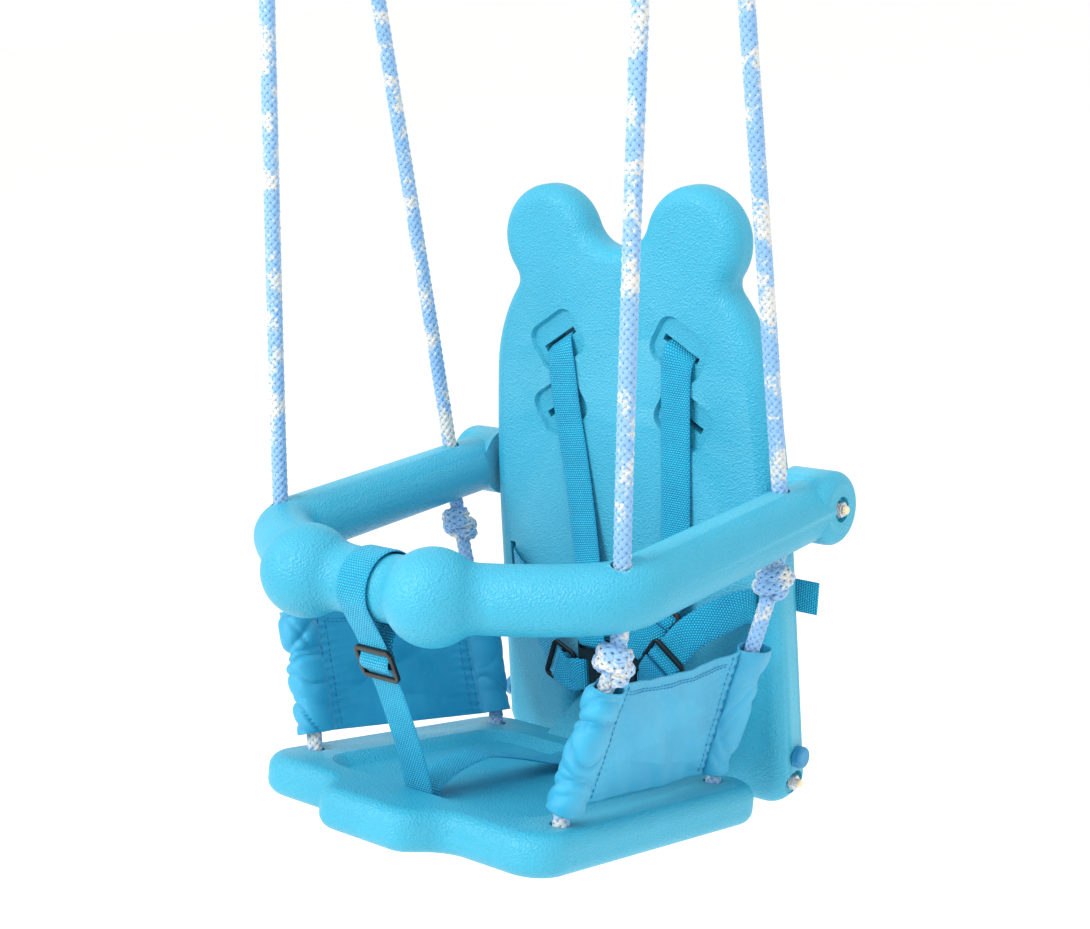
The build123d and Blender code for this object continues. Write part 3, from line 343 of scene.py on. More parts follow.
def ring_corners(sign):
    """Points that carry the rope over the ring wire, front to rear."""
    drop = EXIT_H + DATUM
    front = atan2(drop, BAR_Y["front"]) - acos(WRAP_R / hypot(BAR_Y["front"], drop)) + 2 * pi
    rear = atan2(drop, BAR_Y["rear"]) + acos(WRAP_R / hypot(BAR_Y["rear"], drop))
    step = (front - rear) / WRAP_CORNERS
    reach = WRAP_R / cos(step / 2) * MM
    angles = [front - step * (index + 0.5) for index in range(WRAP_CORNERS)]
    return [LEAN @ Vector((sign * RING_X * MM, reach * cos(a), reach * sin(a))) for a in angles]


def rope_route(sign):
    """Control points of one rope, from its front seat knot over the ring to its rear one."""
    front, rear = half_route(sign, "front"), half_route(sign, "rear")
    corners = ring_corners(sign)
    near_front = corners[0] + (front[-1] - corners[0]).normalized() * EASE * MM
    near_rear = corners[-1] + (rear[-1] - corners[-1]).normalized() * EASE * MM
    return front + [near_front] + corners + [near_rear] + rear[::-1]


def smooth_line(name, points):
    """Points along the NURBS spline of a route."""
    curve = bpy.data.curves.new(name, "CURVE")
    curve.dimensions = "3D"
    curve.resolution_u = ROUTE_RESOLUTION
    spline = curve.splines.new("NURBS")
    spline.points.add(len(points) - 1)
    for control, point in zip(spline.points, points):
        control.co = (*point, 1.0)
    spline.order_u = 3
    spline.use_endpoint_u = True
    holder = bpy.data.objects.new(name, curve)
    bpy.context.scene.collection.objects.link(holder)
    bpy.context.view_layer.update()
    mesh = bpy.data.meshes.new_from_object(holder)
    line = np.array([vertex.co for vertex in mesh.vertices])
    bpy.data.objects.remove(holder)
    return line


def travelled(line):
    """Distance along a line at each of its points."""
    gaps = np.linalg.norm(np.diff(line, axis=0), axis=1)
    return np.concatenate(([0.0], np.cumsum(gaps)))


def resample(line, step):
    """The same line with points a fixed distance apart."""
    travel = travelled(line)
    count = max(2, int(round(travel[-1] / step)) + 1)
    wanted = np.linspace(0, travel[-1], count)
    return np.column_stack([np.interp(wanted, travel, line[:, axis]) for axis in range(3)])


def side_frames(line):
    """Two side directions that don't twist along a line."""
    tangents = np.gradient(line, axis=0)
    tangents /= np.linalg.norm(tangents, axis=1)[:, None]
    first = np.cross(tangents[0], (0.3, 0.9, 0.2))
    first /= np.linalg.norm(first)
    firsts = [first]
    for tangent in tangents[1:]:
        first = firsts[-1] - tangent * (firsts[-1] @ tangent)
        firsts.append(first / np.linalg.norm(first))
    firsts = np.array(firsts)
    return firsts, np.cross(tangents, firsts)


YARNS = 6                   # yarns each way round
YARN_CORNERS = 6
LAY_LENGTH = 34 * MM        # one turn of a yarn
CORE_SHARE = 0.8            # shares of the rope's radius: the yarns' middles,
CROSSING_SHARE = 0.09       # how far they pass over and under each other,
YARN_WIDE_SHARE = 0.31      # and half their width and thickness
YARN_THICK_SHARE = 0.17


def braid(line, radius):
    """Vertices and faces of a tubular braid of flat yarns along a line."""
    first, second = side_frames(line)
    travel = travelled(line)
    core = radius * CORE_SHARE
    wide_half, thick_half = radius * YARN_WIDE_SHARE, radius * YARN_THICK_SHARE
    weave = np.cos(2 * pi * YARNS * travel / LAY_LENGTH)
    corners = np.arange(YARN_CORNERS) * 2 * pi / YARN_CORNERS
    vertices, faces = [], []
    count = len(line)
    for direction in (1, -1):
        for yarn in range(YARNS):
            angle = direction * 2 * pi * travel / LAY_LENGTH + 2 * pi * yarn / YARNS
            out = np.cos(angle)[:, None] * first + np.sin(angle)[:, None] * second
            rim = (core + direction * radius * CROSSING_SHARE * weave)[:, None]
            middle = line + out * rim
            heading = np.gradient(middle, axis=0)
            heading /= np.linalg.norm(heading, axis=1)[:, None]
            wide = np.cross(out, heading)
            base = len(vertices) * count * YARN_CORNERS
            ring = [middle + wide * (cos(c) * wide_half) + out * (sin(c) * thick_half) for c in corners]
            vertices.append(np.stack(ring, axis=1).reshape(-1, 3))
            index = base + np.arange(count - 1)[:, None] * YARN_CORNERS
            here = np.arange(YARN_CORNERS)[None, :]
            there = (here + 1) % YARN_CORNERS
            quads = np.stack([index + here, index + there, index + YARN_CORNERS + there,
                              index + YARN_CORNERS + here], axis=-1).reshape(-1, 4)
            faces.extend(quads.tolist())
            faces.append([base + corner for corner in reversed(range(YARN_CORNERS))])
            last = base + (count - 1) * YARN_CORNERS
            faces.append([last + corner for corner in range(YARN_CORNERS)])
    return np.concatenate(vertices), faces


def mesh_piece(name, vertices, faces, material):
    """A new smooth-shaded mesh object."""
    mesh = bpy.data.meshes.new(name)
    mesh.from_pydata([tuple(v) for v in vertices], [], faces)
    mesh.materials.append(material)
    mesh.polygons.foreach_set("use_smooth", [True] * len(mesh.polygons))
    mesh.update()
    piece = bpy.data.objects.new(name, mesh)
    bpy.context.scene.collection.objects.link(piece)
    return piece


def merge(parts):
    """Several vertex and face lists as one."""
    vertices, faces, base = [], [], 0
    for points, polygons in parts:
        vertices.append(np.asarray(points))
        faces.extend([[base + index for index in face] for face in polygons])
        base += len(points)
    return np.concatenate(vertices), faces


ROPE_STEP = 1.6 * MM        # length of the braid's faces along a rope and along a knot
KNOT_STEP = 1.15 * MM
KNOT_TURNS = 2.15           # half turns each way from the knot's middle
KNOT_HALF = 8.2 * MM
KNOT_RADIUS = 8.3 * MM
KNOT_LEAN = 4.2 * MM        # slant of the turns
KNOT_TAPER = 0.42           # narrowing at the knot's ends
KNOT_STEPS = 110
KNOT_ROPE_SHARE = 0.98
SNUG = 0.72                 # a knot drawn up in the seat's pocket


def knot(centre, axis, lean_at, snug=1.0):
    """A stopper knot: slanting turns of the rope round its own standing part, drawn tighter by snug."""
    axis = axis.normalized()
    side = axis.cross(Vector((0.2, 1.0, 0.1))).normalized()
    other = axis.cross(side)
    line = []
    for index in range(KNOT_STEPS + 1):
        share = index / KNOT_STEPS * 2 - 1
        angle = share * pi * KNOT_TURNS
        swell = snug * KNOT_RADIUS * (1 - KNOT_TAPER * abs(share) ** 5)
        lean = snug**4 * KNOT_LEAN * sin(angle + lean_at) * (1 - abs(share) ** 3)
        along = share * snug**2 * KNOT_HALF + lean
        line.append(centre + axis * along + side * (swell * cos(angle)) + other * (swell * sin(angle)))
    return braid(resample(np.array(line), KNOT_STEP), ROPE_D / 2 * KNOT_ROPE_SHARE)


for side, sign in SIDES.items():
    route = rope_route(sign)
    line = resample(smooth_line(f"route_{side}", route), ROPE_STEP)
    rope = mesh_piece(f"braided_rope_{side}", *braid(line, ROPE_D / 2), ROPE)
    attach(rope, "swing")
    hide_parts(f"rope_{side}")
    # each knot starts its turns at its own angle
    for order, (end, turn, _, _, bend) in enumerate((route[:5], route[:-6:-1])):
        up_seat, down = (turn - end).normalized(), (turn - bend).normalized()
        low = knot(end + up_seat * SEAT_KNOT_UP * MM, up_seat, 1.3 + order, SNUG)
        high = knot(bend + down * BAR_KNOT_DROP * MM, down, 2.4 + 2 * order + sign)
        for where, shape in (("seat", low), ("bar", high)):
            piece = mesh_piece(f"{where}_knot_{'rear' if order else 'front'}_{side}", *shape, ROPE)
            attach(piece, "swing")
            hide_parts(f"knots_{side}")

# ------------------------------------------------------------------ side panels
CASING_TOP = {"front": 36.0, "rear": 72.0}      # along each lower rope, from its bend
CASING_LOW = {"front": 123.0, "rear": 170.0}
PANEL_DROP = 92.0           # height and width of the web that the wrinkles are spread over
PANEL_RUN = 130.0
SEAM = 17.0                 # a casing's seam and its far edge, from the rope's middle
FRONT_EDGE = 10.0
FLAP_TOP = 20.0
FLAP_LOW = 10.0
CASING_DEEP = 8.4           # half a casing's depth round its rope
CASING_COLUMNS = 40
WEB_COLUMNS = 64
ROWS = 132
PUFF = {"front": 4.2, "rear": 2.6}              # height and spacing of the gathers
PUFF_LENGTH = {"front": 9.5, "rear": 12.0}
PUFF_EDGE = 1.1
GATHER_END = 120.0
WAVE_LENGTHS = (46.0, 29.0, 19.0)
WAVE_TOTAL = 1.7
WAVE = 1.5                  # slack wrinkles of the web
BULGE = 3.0                 # its bow away from the seat
PUCKER = 1.3                # and puckers along its seams
PUCKER_LENGTH = 6.5
SAG = 4.5                   # of the web's top edge
# creases right across the web: where they start, slant, height and width
CREASES = ((18.0, 0.5, 1.7, 5.0), (47.0, -0.35, 1.3, 6.0), (70.0, 0.22, 1.1, 4.0))
CLOTH_T = 0.9 * MM
CLOTH_H = 0.1               # metres of weave down the panel


def rng_for(*key):
    """The same random draws for the same part of the cloth."""
    return np.random.default_rng(sum((index + 3) * ord(letter) for index, letter in enumerate(repr(key))))


def scrunch(fall, lean, gap, rng):
    """Gathered cloth, 0 to 1: round ridges of uneven length with slanting valleys between."""
    height = np.ones(np.broadcast(fall, lean).shape)
    place = -gap
    while place < GATHER_END:
        place += gap * rng.uniform(0.45, 1.65)
        slant, bow = rng.uniform(-0.75, 0.75), rng.uniform(-2.2, 2.2)
        away = np.abs(fall - place - slant * lean - bow * np.sin(lean / 7 + place))
        height -= rng.uniform(0.25, 1.0) * np.exp(-(away / (gap * rng.uniform(0.2, 0.45))) ** 1.25)
    return np.clip(height, 0, 1)


def soft_waves(fall, along, rng):
    """Long slack wrinkles that lean across the cloth."""
    total = np.zeros(np.broadcast(fall, along).shape)
    for length in WAVE_LENGTHS:
        turn, phase = rng.uniform(0.5, 1.15), rng.uniform(0, 2 * pi)
        across = fall * sin(turn) - along * cos(turn)
        total += length / WAVE_LENGTHS[0] * np.sin(2 * pi * across / length + phase)
    return total / WAVE_TOTAL


def casing(top, low, which, sign, chord, outward):
    """Columns of points round one rope, from the web's seam out to the gathered edge and back to the seam."""
    drop = np.linspace(0, 1, ROWS)
    middle = top + (low - top) * drop[:, None]
    below = drop * np.linalg.norm(low - top) / MM
    edge = FRONT_EDGE if which == "front" else FLAP_TOP + (FLAP_LOW - FLAP_TOP) * drop
    toward = -1 if which == "front" else 1
    columns = []
    for step in range(CASING_COLUMNS + 1):
        angle = -pi + 2 * pi * step / CASING_COLUMNS
        share = (1 + cos(angle)) / 2
        reach = -SEAM + (SEAM + edge) * share
        deep = CASING_DEEP * sin(angle) * (0.45 + 0.55 * share**0.5)
        folds = scrunch(below, reach * 1.2 + 20 * sin(angle), PUFF_LENGTH[which], rng_for(sign, which))
        swell = PUFF[which] * folds * (0.25 + 0.75 * abs(sin(angle)) ** 0.6)
        reach = reach + (folds - 0.5) * share**2 * PUFF[which] * PUFF_EDGE
        side_step = deep + np.sign(angle) * swell * (share > 0)
        columns.append(middle + toward * np.outer(reach * MM, chord) + np.outer(side_step * MM, outward))
    return columns


def web(start, end, sign, fall, outward):
    """Columns of slack, wrinkled cloth between the two casings."""
    drop = np.linspace(0, 1, ROWS)
    below = drop * PANEL_DROP
    columns = []
    for step in range(1, WEB_COLUMNS):
        share = step / WEB_COLUMNS
        slack = sin(pi * share)
        near_seam = np.exp(-min(share, 1 - share) * 14)
        waves = soft_waves(below, share * PANEL_RUN, rng_for(sign, "web"))
        pucker = np.abs(np.sin(pi * below / PUCKER_LENGTH + 1.7 * sin(9 * share))) - 0.5
        push = BULGE * slack * np.sin(2.6 * drop) + WAVE * waves * slack**0.5 + PUCKER * pucker * near_seam
        for start_at, slant, high, wide in CREASES:
            away = (below - start_at - slant * (share - 0.5) * PANEL_RUN) / wide
            push = push + high * slack * np.exp(-np.abs(away) ** 1.4)
        sag = SAG * slack * (1 - drop) ** 2
        point = start + (end - start) * share + np.outer(push * MM, outward)
        columns.append(point + np.outer(sag * MM, fall / np.linalg.norm(fall)))
    return columns


def panel(sign):
    """Rows of points across one panel: front casing, web, rear casing."""
    ends = {}
    for which in ("front", "rear"):
        _, turn, _, _, bend, _ = half_route(sign, which)
        along = (turn - bend).normalized()
        ends[which] = [np.array(bend + along * place[which] * MM) for place in (CASING_TOP, CASING_LOW)]
    chord = ends["rear"][0] - ends["front"][0] + ends["rear"][1] - ends["front"][1]
    chord /= np.linalg.norm(chord)
    fall = ends["front"][1] - ends["front"][0]
    outward = np.cross(chord, fall)
    outward *= sign * np.sign(outward[0]) / np.linalg.norm(outward)
    front, rear = (casing(*ends[which], which, sign, chord, outward) for which in ("front", "rear"))
    return np.stack(front + web(front[-1], rear[0], sign, fall, outward) + rear, axis=1)


def cloth_grid(name, grid):
    """A grid of cloth with a woven UV in metres, given thickness."""
    rows, columns = grid.shape[:2]
    index = np.arange(rows * columns).reshape(rows, columns)
    faces = np.stack([index[:-1, :-1], index[:-1, 1:], index[1:, 1:], index[1:, :-1]], axis=-1).reshape(-1, 4)
    piece = mesh_piece(name, grid.reshape(-1, 3), faces.tolist(), CLOTH)
    across = travelled(grid[rows // 2])
    down = np.linspace(0, CLOTH_H, rows)
    uv = piece.data.uv_layers.new(name="weave")
    for polygon in piece.data.polygons:
        for loop in polygon.loop_indices:
            row, column = divmod(piece.data.loops[loop].vertex_index, columns)
            uv.data[loop].uv = (across[column], down[row])
    solid = piece.modifiers.new("thickness", "SOLIDIFY")
    solid.thickness = CLOTH_T
    solid.offset = 0
    return piece


STITCH = 3.0 * MM
STITCH_GAP = 1.1 * MM
THREAD_R = 0.38 * MM
THREAD_CORNERS = 6
# sections of one stitch: where along it, and how thick
STITCH_SECTIONS = ((0.0, 0.35), (0.2, 1.0), (0.55, 1.0), (0.74, 0.35))


def stitch(start, end):
    """Vertices and faces of one short thread."""
    run = end - start
    length = np.linalg.norm(run)
    run = run / length
    side = np.cross(run, (0.31, 0.64, 0.7))
    side /= np.linalg.norm(side)
    other = np.cross(run, side)
    points = []
    for share, scale in STITCH_SECTIONS:
        centre = start + run * length * share
        for corner in range(THREAD_CORNERS):
            angle = corner * 2 * pi / THREAD_CORNERS
            points.append(centre + (side * cos(angle) + other * sin(angle)) * THREAD_R * scale)
    faces = []
    for section in range(len(STITCH_SECTIONS) - 1):
        for corner in range(THREAD_CORNERS):
            here, after = section * THREAD_CORNERS, (corner + 1) % THREAD_CORNERS
            there = here + THREAD_CORNERS
            faces.append([here + corner, here + after, there + after, there + corner])
    corners = list(range(THREAD_CORNERS))
    last = (len(STITCH_SECTIONS) - 1) * THREAD_CORNERS
    faces += [corners[::-1], [last + corner for corner in corners]]
    return np.array(points), faces


def stitches(lines):
    """Short threads along lines of surface points, each ending in the cloth."""
    parts = []
    for line in lines:
        points = resample(line, STITCH + STITCH_GAP)
        parts += [stitch(start, end) for start, end in zip(points[:-1], points[1:])]
    return merge(parts)


SEAM_LIFT = 0.7             # threads above the cloth's middle
SEAM_COLUMNS = (1, 4)       # rows of stitching, in columns from a casing and in rows from the top edge
HEM_ROWS = (10, 13)
HEM_INSET = 5
SEAM_ROWS = slice(4, -3)
FRONT_SEAM = CASING_COLUMNS
REAR_SEAM = CASING_COLUMNS + WEB_COLUMNS

for side, sign in SIDES.items():
    grid = panel(sign)
    cloth = cloth_grid(f"cloth_panel_{side}", grid)
    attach(cloth, "swing")
    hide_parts(f"side_panel_{side}")
    outward = np.array((sign * SEAM_LIFT * MM, 0, 0))
    columns = [FRONT_SEAM + step for step in SEAM_COLUMNS] + [REAR_SEAM - step for step in SEAM_COLUMNS[::-1]]
    seams = []
    for column in columns:
        for face in (1, -1):
            seams.append(grid[SEAM_ROWS, column] + outward * face)
    for row in HEM_ROWS:
        for face in (1, -1):
            seams.append(grid[row, FRONT_SEAM + HEM_INSET:REAR_SEAM - HEM_INSET] + outward * face)
    sewn = mesh_piece(f"panel_stitching_{side}", *stitches(seams), THREAD)
    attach(sewn, "swing")

# ------------------------------------------------------------------ webbing
WEB_W = 25.0
WEB_T = 1.6
LAYER = 2.4                 # from one layer of webbing to the next
WEB_STEP = 2.2 * MM
HALF_COLUMNS = 6
EDGE_FROM, EDGE_TO = 0.8, 0.97                  # the bound edge, in shares of half the width
EDGE_SWELL = 0.12
EDGE_THIN = 0.75
EDGE_POWER = 14
CORNER_ROUNDS = 2
X = Vector((1, 0, 0))
Z = LEAN @ Vector((0, 0, 1))
FACING = LEAN @ Vector((0, -1, 0))
SLIDER_SLOT = 7.0
SLIDER_BAR = 3.6
SLIDER_L = 25.0
SLIDER_RISE = 3.1           # webbing above and below a slider's middle
SLIDER_END_GAP = 0.8
SLIDER_BAR_GAP = 1.0


def soften(points):
    """A strap's corners cut away, its ends kept."""
    for _ in range(CORNER_ROUNDS):
        near = points[:-1] * 0.75 + points[1:] * 0.25
        far = points[:-1] * 0.25 + points[1:] * 0.75
        inner = np.stack([near, far], axis=1).reshape(-1, points.shape[1])
        points = np.concatenate([points[:1], inner[1:-1], points[-1:]])
    return points


def webbing_profile():
    """Places round a strap's section: across its width, and above or below its middle."""
    profile = []
    for face in (1, -1):
        for step in range(-HALF_COLUMNS, HALF_COLUMNS + 1):
            share = step / HALF_COLUMNS * face
            bound = 1 + EDGE_SWELL * (EDGE_FROM < abs(share) < EDGE_TO)
            thick = WEB_T / 2 * MM * (1 - EDGE_THIN * abs(share) ** EDGE_POWER) * bound
            profile.append((share * WEB_W / 2 * MM, thick * face))
    return profile


def webbing(name, stations, node, body="swing"):
    """A woven strap through stations of (point, width direction); with no body, it is left unattached."""
    table = soften(np.array([[*point, *width] for point, width in stations]))
    travel = travelled(table[:, :3])
    wanted = np.linspace(0, travel[-1], max(3, int(travel[-1] / WEB_STEP)))
    table = np.column_stack([np.interp(wanted, travel, table[:, axis]) for axis in range(6)])
    points, widths = table[:, :3], table[:, 3:]
    tangents = np.gradient(points, axis=0)
    tangents /= np.linalg.norm(tangents, axis=1)[:, None]
    widths -= tangents * np.sum(widths * tangents, axis=1)[:, None]
    widths /= np.linalg.norm(widths, axis=1)[:, None]
    normals = np.cross(tangents, widths)
    profile = webbing_profile()
    rows, columns = len(points), len(profile)
    vertices = np.stack([points + widths * across + normals * up for across, up in profile], axis=1)
    faces = []
    for row in range(rows - 1):
        for column in range(columns):
            after = (column + 1) % columns
            faces.append([row * columns + column, row * columns + after,
                          (row + 1) * columns + after, (row + 1) * columns + column])
    faces.append(list(range(columns))[::-1])
    faces.append([(rows - 1) * columns + column for column in range(columns)])
    piece = mesh_piece(name, vertices.reshape(-1, 3), faces, WEBBING)
    uv = piece.data.uv_layers.new(name="weave")
    for polygon in piece.data.polygons:
        for loop in polygon.loop_indices:
            row, column = divmod(piece.data.loops[loop].vertex_index, columns)
            uv.data[loop].uv = (profile[column][0], wanted[row])
    piece.data.set_sharp_from_angle(angle=radians(60))
    if body is not None:
        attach(piece, body)
    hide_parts(node)
    return piece


def flat_stations(points, width):
    """Stations that share one width direction."""
    return [(point, width) for point in points]


def through_slider(centre, run, facing):
    """Points up through a slider's first slot, over its bar and down through the second."""
    outer, inner = SLIDER_BAR / 2 + SLIDER_SLOT - SLIDER_END_GAP, SLIDER_BAR / 2 + SLIDER_BAR_GAP
    places = ((-outer, -1), (-inner, 1), (inner, 1), (outer, -1))
    return [centre + run * along * MM + facing * (face * SLIDER_RISE * MM) for along, face in places]


# the two straps that cross in the seat's slot, one above the other under the seat
SEAT_THICK = 28.0
CROTCH_SLOT_V = -7.0
UNDER_REACH = 30.0          # along the seat, from the line of its front rope holes


def under_seat(layer):
    """Points of a strap from its end under the seat up to the slot; layer is 1 or -1."""
    slot = CROTCH_SLOT_V - layer * LAYER / 2
    below = -SEAT_THICK - (3 + layer) * LAYER / 2
    places = ((UNDER_REACH, below), (slot + LAYER, below), (slot, below + LAYER), (slot, -1.0))
    return [on_seat(0, along, above) for along, above in places]


# crotch strap: up from the seat, through its slider, round the guard bar and back
CROTCH_SLIDER_AT = at(0, -159, 112)
BAR_MIDDLE = at(0, -152, 162)
BAR_LOOP_R = 24.2 * MM
LOOP_STEPS = 14

foot = under_seat(1)
run = (CROTCH_SLIDER_AT - foot[-1]).normalized()
facing = Vector((0, -run.z, run.y))
to_slider = CROTCH_SLIDER_AT - BAR_MIDDLE
fall_angle = atan2(to_slider.z, to_slider.y)
grip = acos(BAR_LOOP_R / to_slider.length)
points = foot + through_slider(CROTCH_SLIDER_AT, run, facing)
for step in range(LOOP_STEPS + 1):
    angle = fall_angle - grip - (2 * pi - 2 * grip) * step / LOOP_STEPS
    points.append(BAR_MIDDLE + Vector((0, cos(angle), sin(angle))) * BAR_LOOP_R)
behind = CROTCH_SLIDER_AT - facing * (SLIDER_RISE + LAYER) * MM
points += [behind + run * (SLIDER_L / 2 + LAYER) * MM, behind + run * SLIDER_BAR / 2 * MM]
crotch = webbing("crotch_webbing", flat_stations(points, X), "crotch_strap", body=None)
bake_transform(crotch)

# harness crotch strap: along the seat to the webbing bar under the buckle, round it and back
BUCKLE_Y = 84.0
BUCKLE_H = 20.0
LOOP_H = BUCKLE_H - 25.75
LOOP_OUT = 2.5 + WEB_T      # from the middle of the buckle's webbing bar to the webbing's
ON_SEAT = ((-120.5, 15.5), (-112, 18.6), (-101, 19.6), (-86, 19.4), (-70, 17), (-50, 8),
           (-29, -2), (-8, -13), (14, -21), (35, -25), (56, -26))
# round the bar: behind the buckle's middle in LOOP_OUTs, and below the bar in mm
ROUND_BAR = ((-2, 12), (1, 7.2), (1, 1.2), (0, 0), (-1, 1.2), (-1, 4.8), (-3.5, 12), (-6, 15.6))

harness = under_seat(-1) + [at(0, y, height) for y, height in ON_SEAT]
harness += [at(0, BUCKLE_Y + outs * LOOP_OUT, LOOP_H - drop) for outs, drop in ROUND_BAR]
webbing("harness_crotch_webbing", flat_stations(harness, X), "harness_crotch_strap")

# waist and shoulder straps
CLIP_HALF_T = 3.5
CLIP_TURN = {"waist": (24.0, -2.5), "shoulder": (16.0, 20.5)}       # across, and above the buckle's middle
SLIDER_AT = {
    "waist": {"left": (-54.0, 89.6, 19.0), "right": (57.0, 72.5, 47.0)},
    "shoulder": {"left": (-27.0, 95.0, 80.0), "right": (39.0, 93.0, 71.0)},
}
STRAP_RUN = {               # from the backrest down to the slider
    "waist": {
        "left": ((-107, 102.5, 85), (-98, 99.5, 76), (-84, 95.5, 55), (-70, 92.5, 32)),
        "right": ((108, 102.5, 88), (102, 96, 86.5), (92, 87.5, 81), (75, 77, 70)),
    },
    "shoulder": {
        "left": ((-51.5, 105.8, 258), (-49, 105.8, 222), (-42, 105.5, 170), (-36, 103, 120)),
        "right": ((53, 105.8, 258), (51, 105.8, 222), (49, 105.5, 170), (47, 103, 110)),
    },
}
SLOT_AT = {"waist": (113, 108.5, 87), "shoulder": (55, 111, 269.5)}
SLOT_SLANT = radians(31)
BELT_Y = 142.3              # webbing on the backrest's back
SLOT_REAR_Y = {"waist": BELT_Y - 4.8, "shoulder": BELT_Y - LAYER}
SHOULDER_BLEND = ((48, 106, 200), (22, 88, 58))
WAIST_BACK = {              # the left one laps over the right one and ends past the backrest's side
    "left": ((-111.8, BELT_Y, 87), (70, BELT_Y, 87), (77, BELT_Y + LAYER, 87),
             (115.4, BELT_Y + LAYER, 87), (139, BELT_Y + 3 * LAYER, 84.6)),
    "right": ((111.8, BELT_Y, 87), (80, BELT_Y, 87)),
}
SHOULDER_BACK = ((55 - LAYER, BELT_Y, 267.1), (55, BELT_Y, 134.7), (55 - LAYER, BELT_Y + LAYER, 101.9),
                 (55 - LAYER, BELT_Y + LAYER, 76))


def clip_loop(centre, inward):
    """Points round a clip's webbing bar, from its back face to its front face."""
    side = (CLIP_HALF_T + WEB_T) * MM
    far, near = centre - inward * (3 * LAYER * MM), centre - inward * (LAYER / 2 * MM)
    return [far - FACING * side, near - FACING * side, centre, near + FACING * side, far + FACING * side]


def slider_run(before, place, after):
    """Direction of the webbing through a slider, half way between those on either side."""
    return ((place - before).normalized() + (after - place).normalized()).normalized()


def turning(first, last, count):
    """Width directions that turn evenly from one to another."""
    return [(first * (count - step) + last * step).normalized() for step in range(1, count + 1)]


def front_strap(kind, side, sign, loop_width, slot_width, inward):
    """Stations from a strap's cut end through its slider and clip to the middle of its slot."""
    across, above = CLIP_TURN[kind]
    loop = clip_loop(at(sign * across, BUCKLE_Y, BUCKLE_H + above), inward)
    place = at(*SLIDER_AT[kind][side])
    run = slider_run(loop[0], place, at(*STRAP_RUN[kind][side][-1]))
    facing = (FACING - run * FACING.dot(run)).normalized()
    centre = place + facing * SLIDER_RISE * MM
    wide = run.cross(facing)
    if kind == "waist":
        wide = wide * -sign
    elif wide.x <= 0:
        wide = -wide
    end = centre + facing * (SLIDER_RISE + LAYER) * MM
    returning = [end - run * SLIDER_BAR / 2 * MM, end - run * (SLIDER_L / 2 + LAYER) * MM]
    visible = [at(*point) for point in reversed(STRAP_RUN[kind][side])]
    x, slot_y, slot_h = SLOT_AT[kind]
    slot_front, slot_rear = at(sign * x, slot_y, slot_h), at(sign * x, SLOT_REAR_Y[kind], slot_h)
    middle = (slot_front + slot_rear) / 2
    stations = flat_stations(returning, wide) + flat_stations(loop[::-1], loop_width)
    stations += flat_stations(through_slider(centre, run, facing), wide)
    stations += list(zip(visible, turning(wide, slot_width, len(visible))))
    stations += flat_stations([slot_front, middle], slot_width)
    return stations, visible[-1], flat_stations([middle, slot_rear], slot_width)


for side, sign in SIDES.items():
    inward = Vector((-sign, 0, 0))
    stations, top, in_slot = front_strap("waist", side, sign, Z, Z, inward)
    belt = webbing(f"waist_webbing_{side}", stations, f"waist_strap_{side}", body=None)
    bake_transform(belt)
    stations = in_slot + flat_stations([at(*place) for place in WAIST_BACK[side]], Z)
    webbing(f"waist_webbing_back_{side}", stations, f"waist_strap_{side}")

    slanted = LEAN @ Vector((cos(SLOT_SLANT), 0, -sign * sin(SLOT_SLANT)))
    stations, _, in_slot = front_strap("shoulder", side, sign, X, slanted, -Z)
    strap = webbing(f"shoulder_webbing_{side}", stations, f"shoulder_strap_{side}", body=None)
    start, end = (at(sign * x, y, height) for x, y, height in SHOULDER_BLEND)
    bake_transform(strap)
    down = [at(sign * x, y, height) for x, y, height in SHOULDER_BACK]
    stations = in_slot + [(down[0], slanted)] + flat_stations(down[1:], X)
    webbing(f"shoulder_webbing_back_{side}", stations, f"shoulder_strap_{side}")

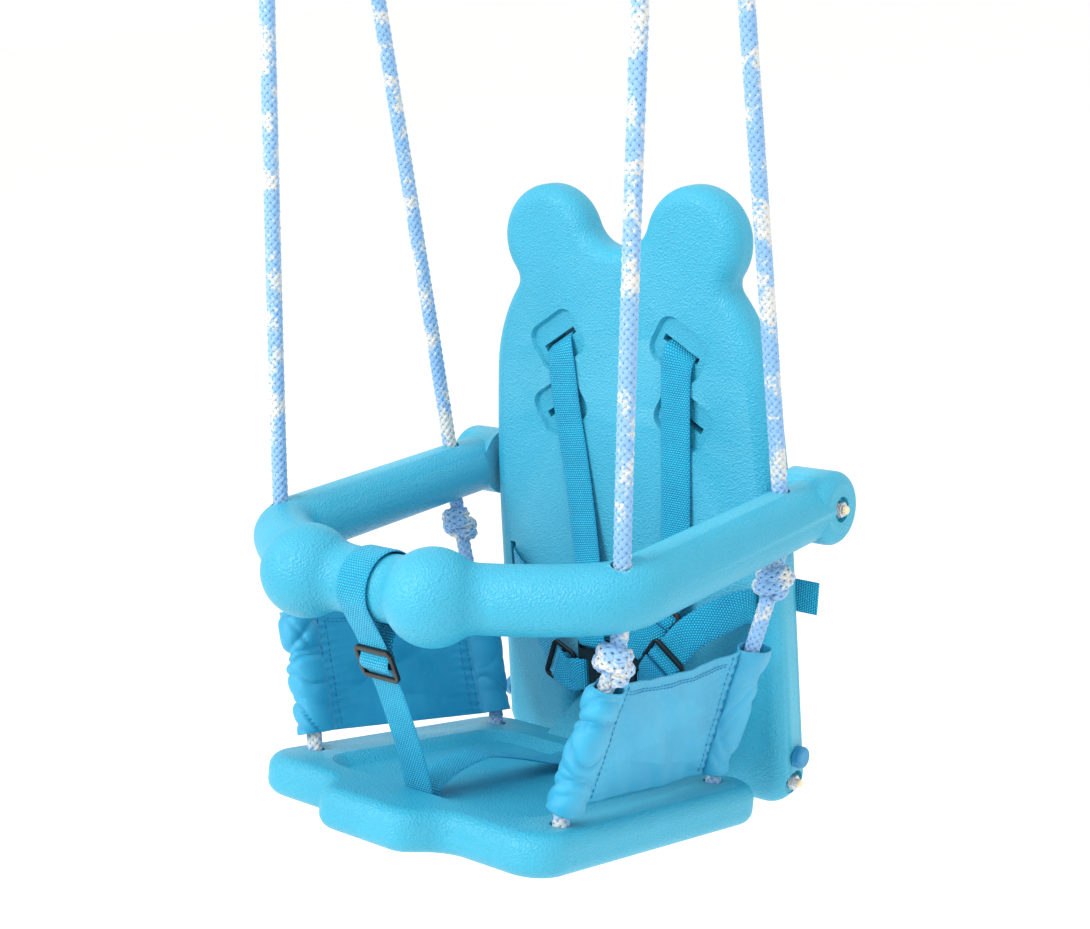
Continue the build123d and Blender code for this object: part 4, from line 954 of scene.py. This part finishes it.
# ------------------------------------------------------------------ carried-over CAD pieces
SHARP_FROM = radians(38)
GUARD_ROD_CAP = 0.1745      # metres from the middle to each rod's end cap
HINGE_ROD_CAP = 0.1362
NO_CAP = 1.0
FINISHES = {
    SHELL: ("backrest", "seat", "guard_bar"),
    BLACK: ("crotch_slider", "waist_slider_left", "waist_slider_right", "shoulder_slider_left",
            "shoulder_slider_right", "buckle_body", "buckle_button", "buckle_clip_left", "buckle_clip_right",
            "guard_washers"),
    PIN: ("lock_pin_left", "lock_pin_right"),
    zinc_paint("zinc_guard_rod", GUARD_ROD_CAP): ("guard_rod",),
    zinc_paint("zinc_hinge_rod", HINGE_ROD_CAP): ("hinge_rod",),
    zinc_paint("zinc_steel", NO_CAP): ("ring_left", "ring_right", "guard_nuts", "hinge_nuts"),
}
for material, names in FINISHES.items():
    for name in names:
        mesh = NODES[name].data
        mesh.materials.clear()
        mesh.materials.append(material)
        mesh.polygons.foreach_set("material_index", [0] * len(mesh.polygons))
        mesh.polygons.foreach_set("use_smooth", [True] * len(mesh.polygons))
        mesh.set_sharp_from_angle(angle=SHARP_FROM)
        mesh.update()

# ------------------------------------------------------------------ floor and light
FLOOR_Z = -1.42             # metres, as is all of this section
FLOOR_HALF = 30
FLOOR_CORNERS = ((-1, -1), (1, -1), (1, 1), (-1, 1))
floor_paint = Paint("floor_paper", 0.9, 0.1)
floor_paint.colour(floor_paint.ramp(floor_paint.noise(3, 2), ((0.3, WHITE), (0.7, linear(255, 255, 254)))))
floor_places = [(x * FLOOR_HALF, y * FLOOR_HALF, FLOOR_Z) for x, y in FLOOR_CORNERS]
floor = mesh_piece("floor", floor_places, [[0, 1, 2, 3]], floor_paint.material)

world = bpy.data.worlds.new("studio")
world.use_nodes = True
world.node_tree.nodes["Background"].inputs["Color"].default_value = (1, 1, 1, 1)
world.node_tree.nodes["Background"].inputs["Strength"].default_value = 1.0
bpy.context.scene.world = world
bpy.context.scene.view_settings.view_transform = "Standard"


def softbox(name, place, size, power):
    """A rectangular area light, turned towards the swing."""
    lamp = bpy.data.lights.new(name, "AREA")
    lamp.shape = "RECTANGLE"
    lamp.size, lamp.size_y = size
    lamp.energy = power
    holder = bpy.data.objects.new(name, lamp)
    holder.location = place
    holder.rotation_euler = (AIM - Vector(place)).to_track_quat("-Z", "Y").to_euler()
    bpy.context.scene.collection.objects.link(holder)


AIM = Vector((0, 0, -0.75))
softbox("key_light", (-0.6, -1.9, 0.9), (1.2, 1.2), 50)
softbox("top_light", (0.5, 0.2, 1.3), (1.6, 1.6), 9)
softbox("side_light", (2.0, -0.6, -0.2), (1.0, 1.4), 5)
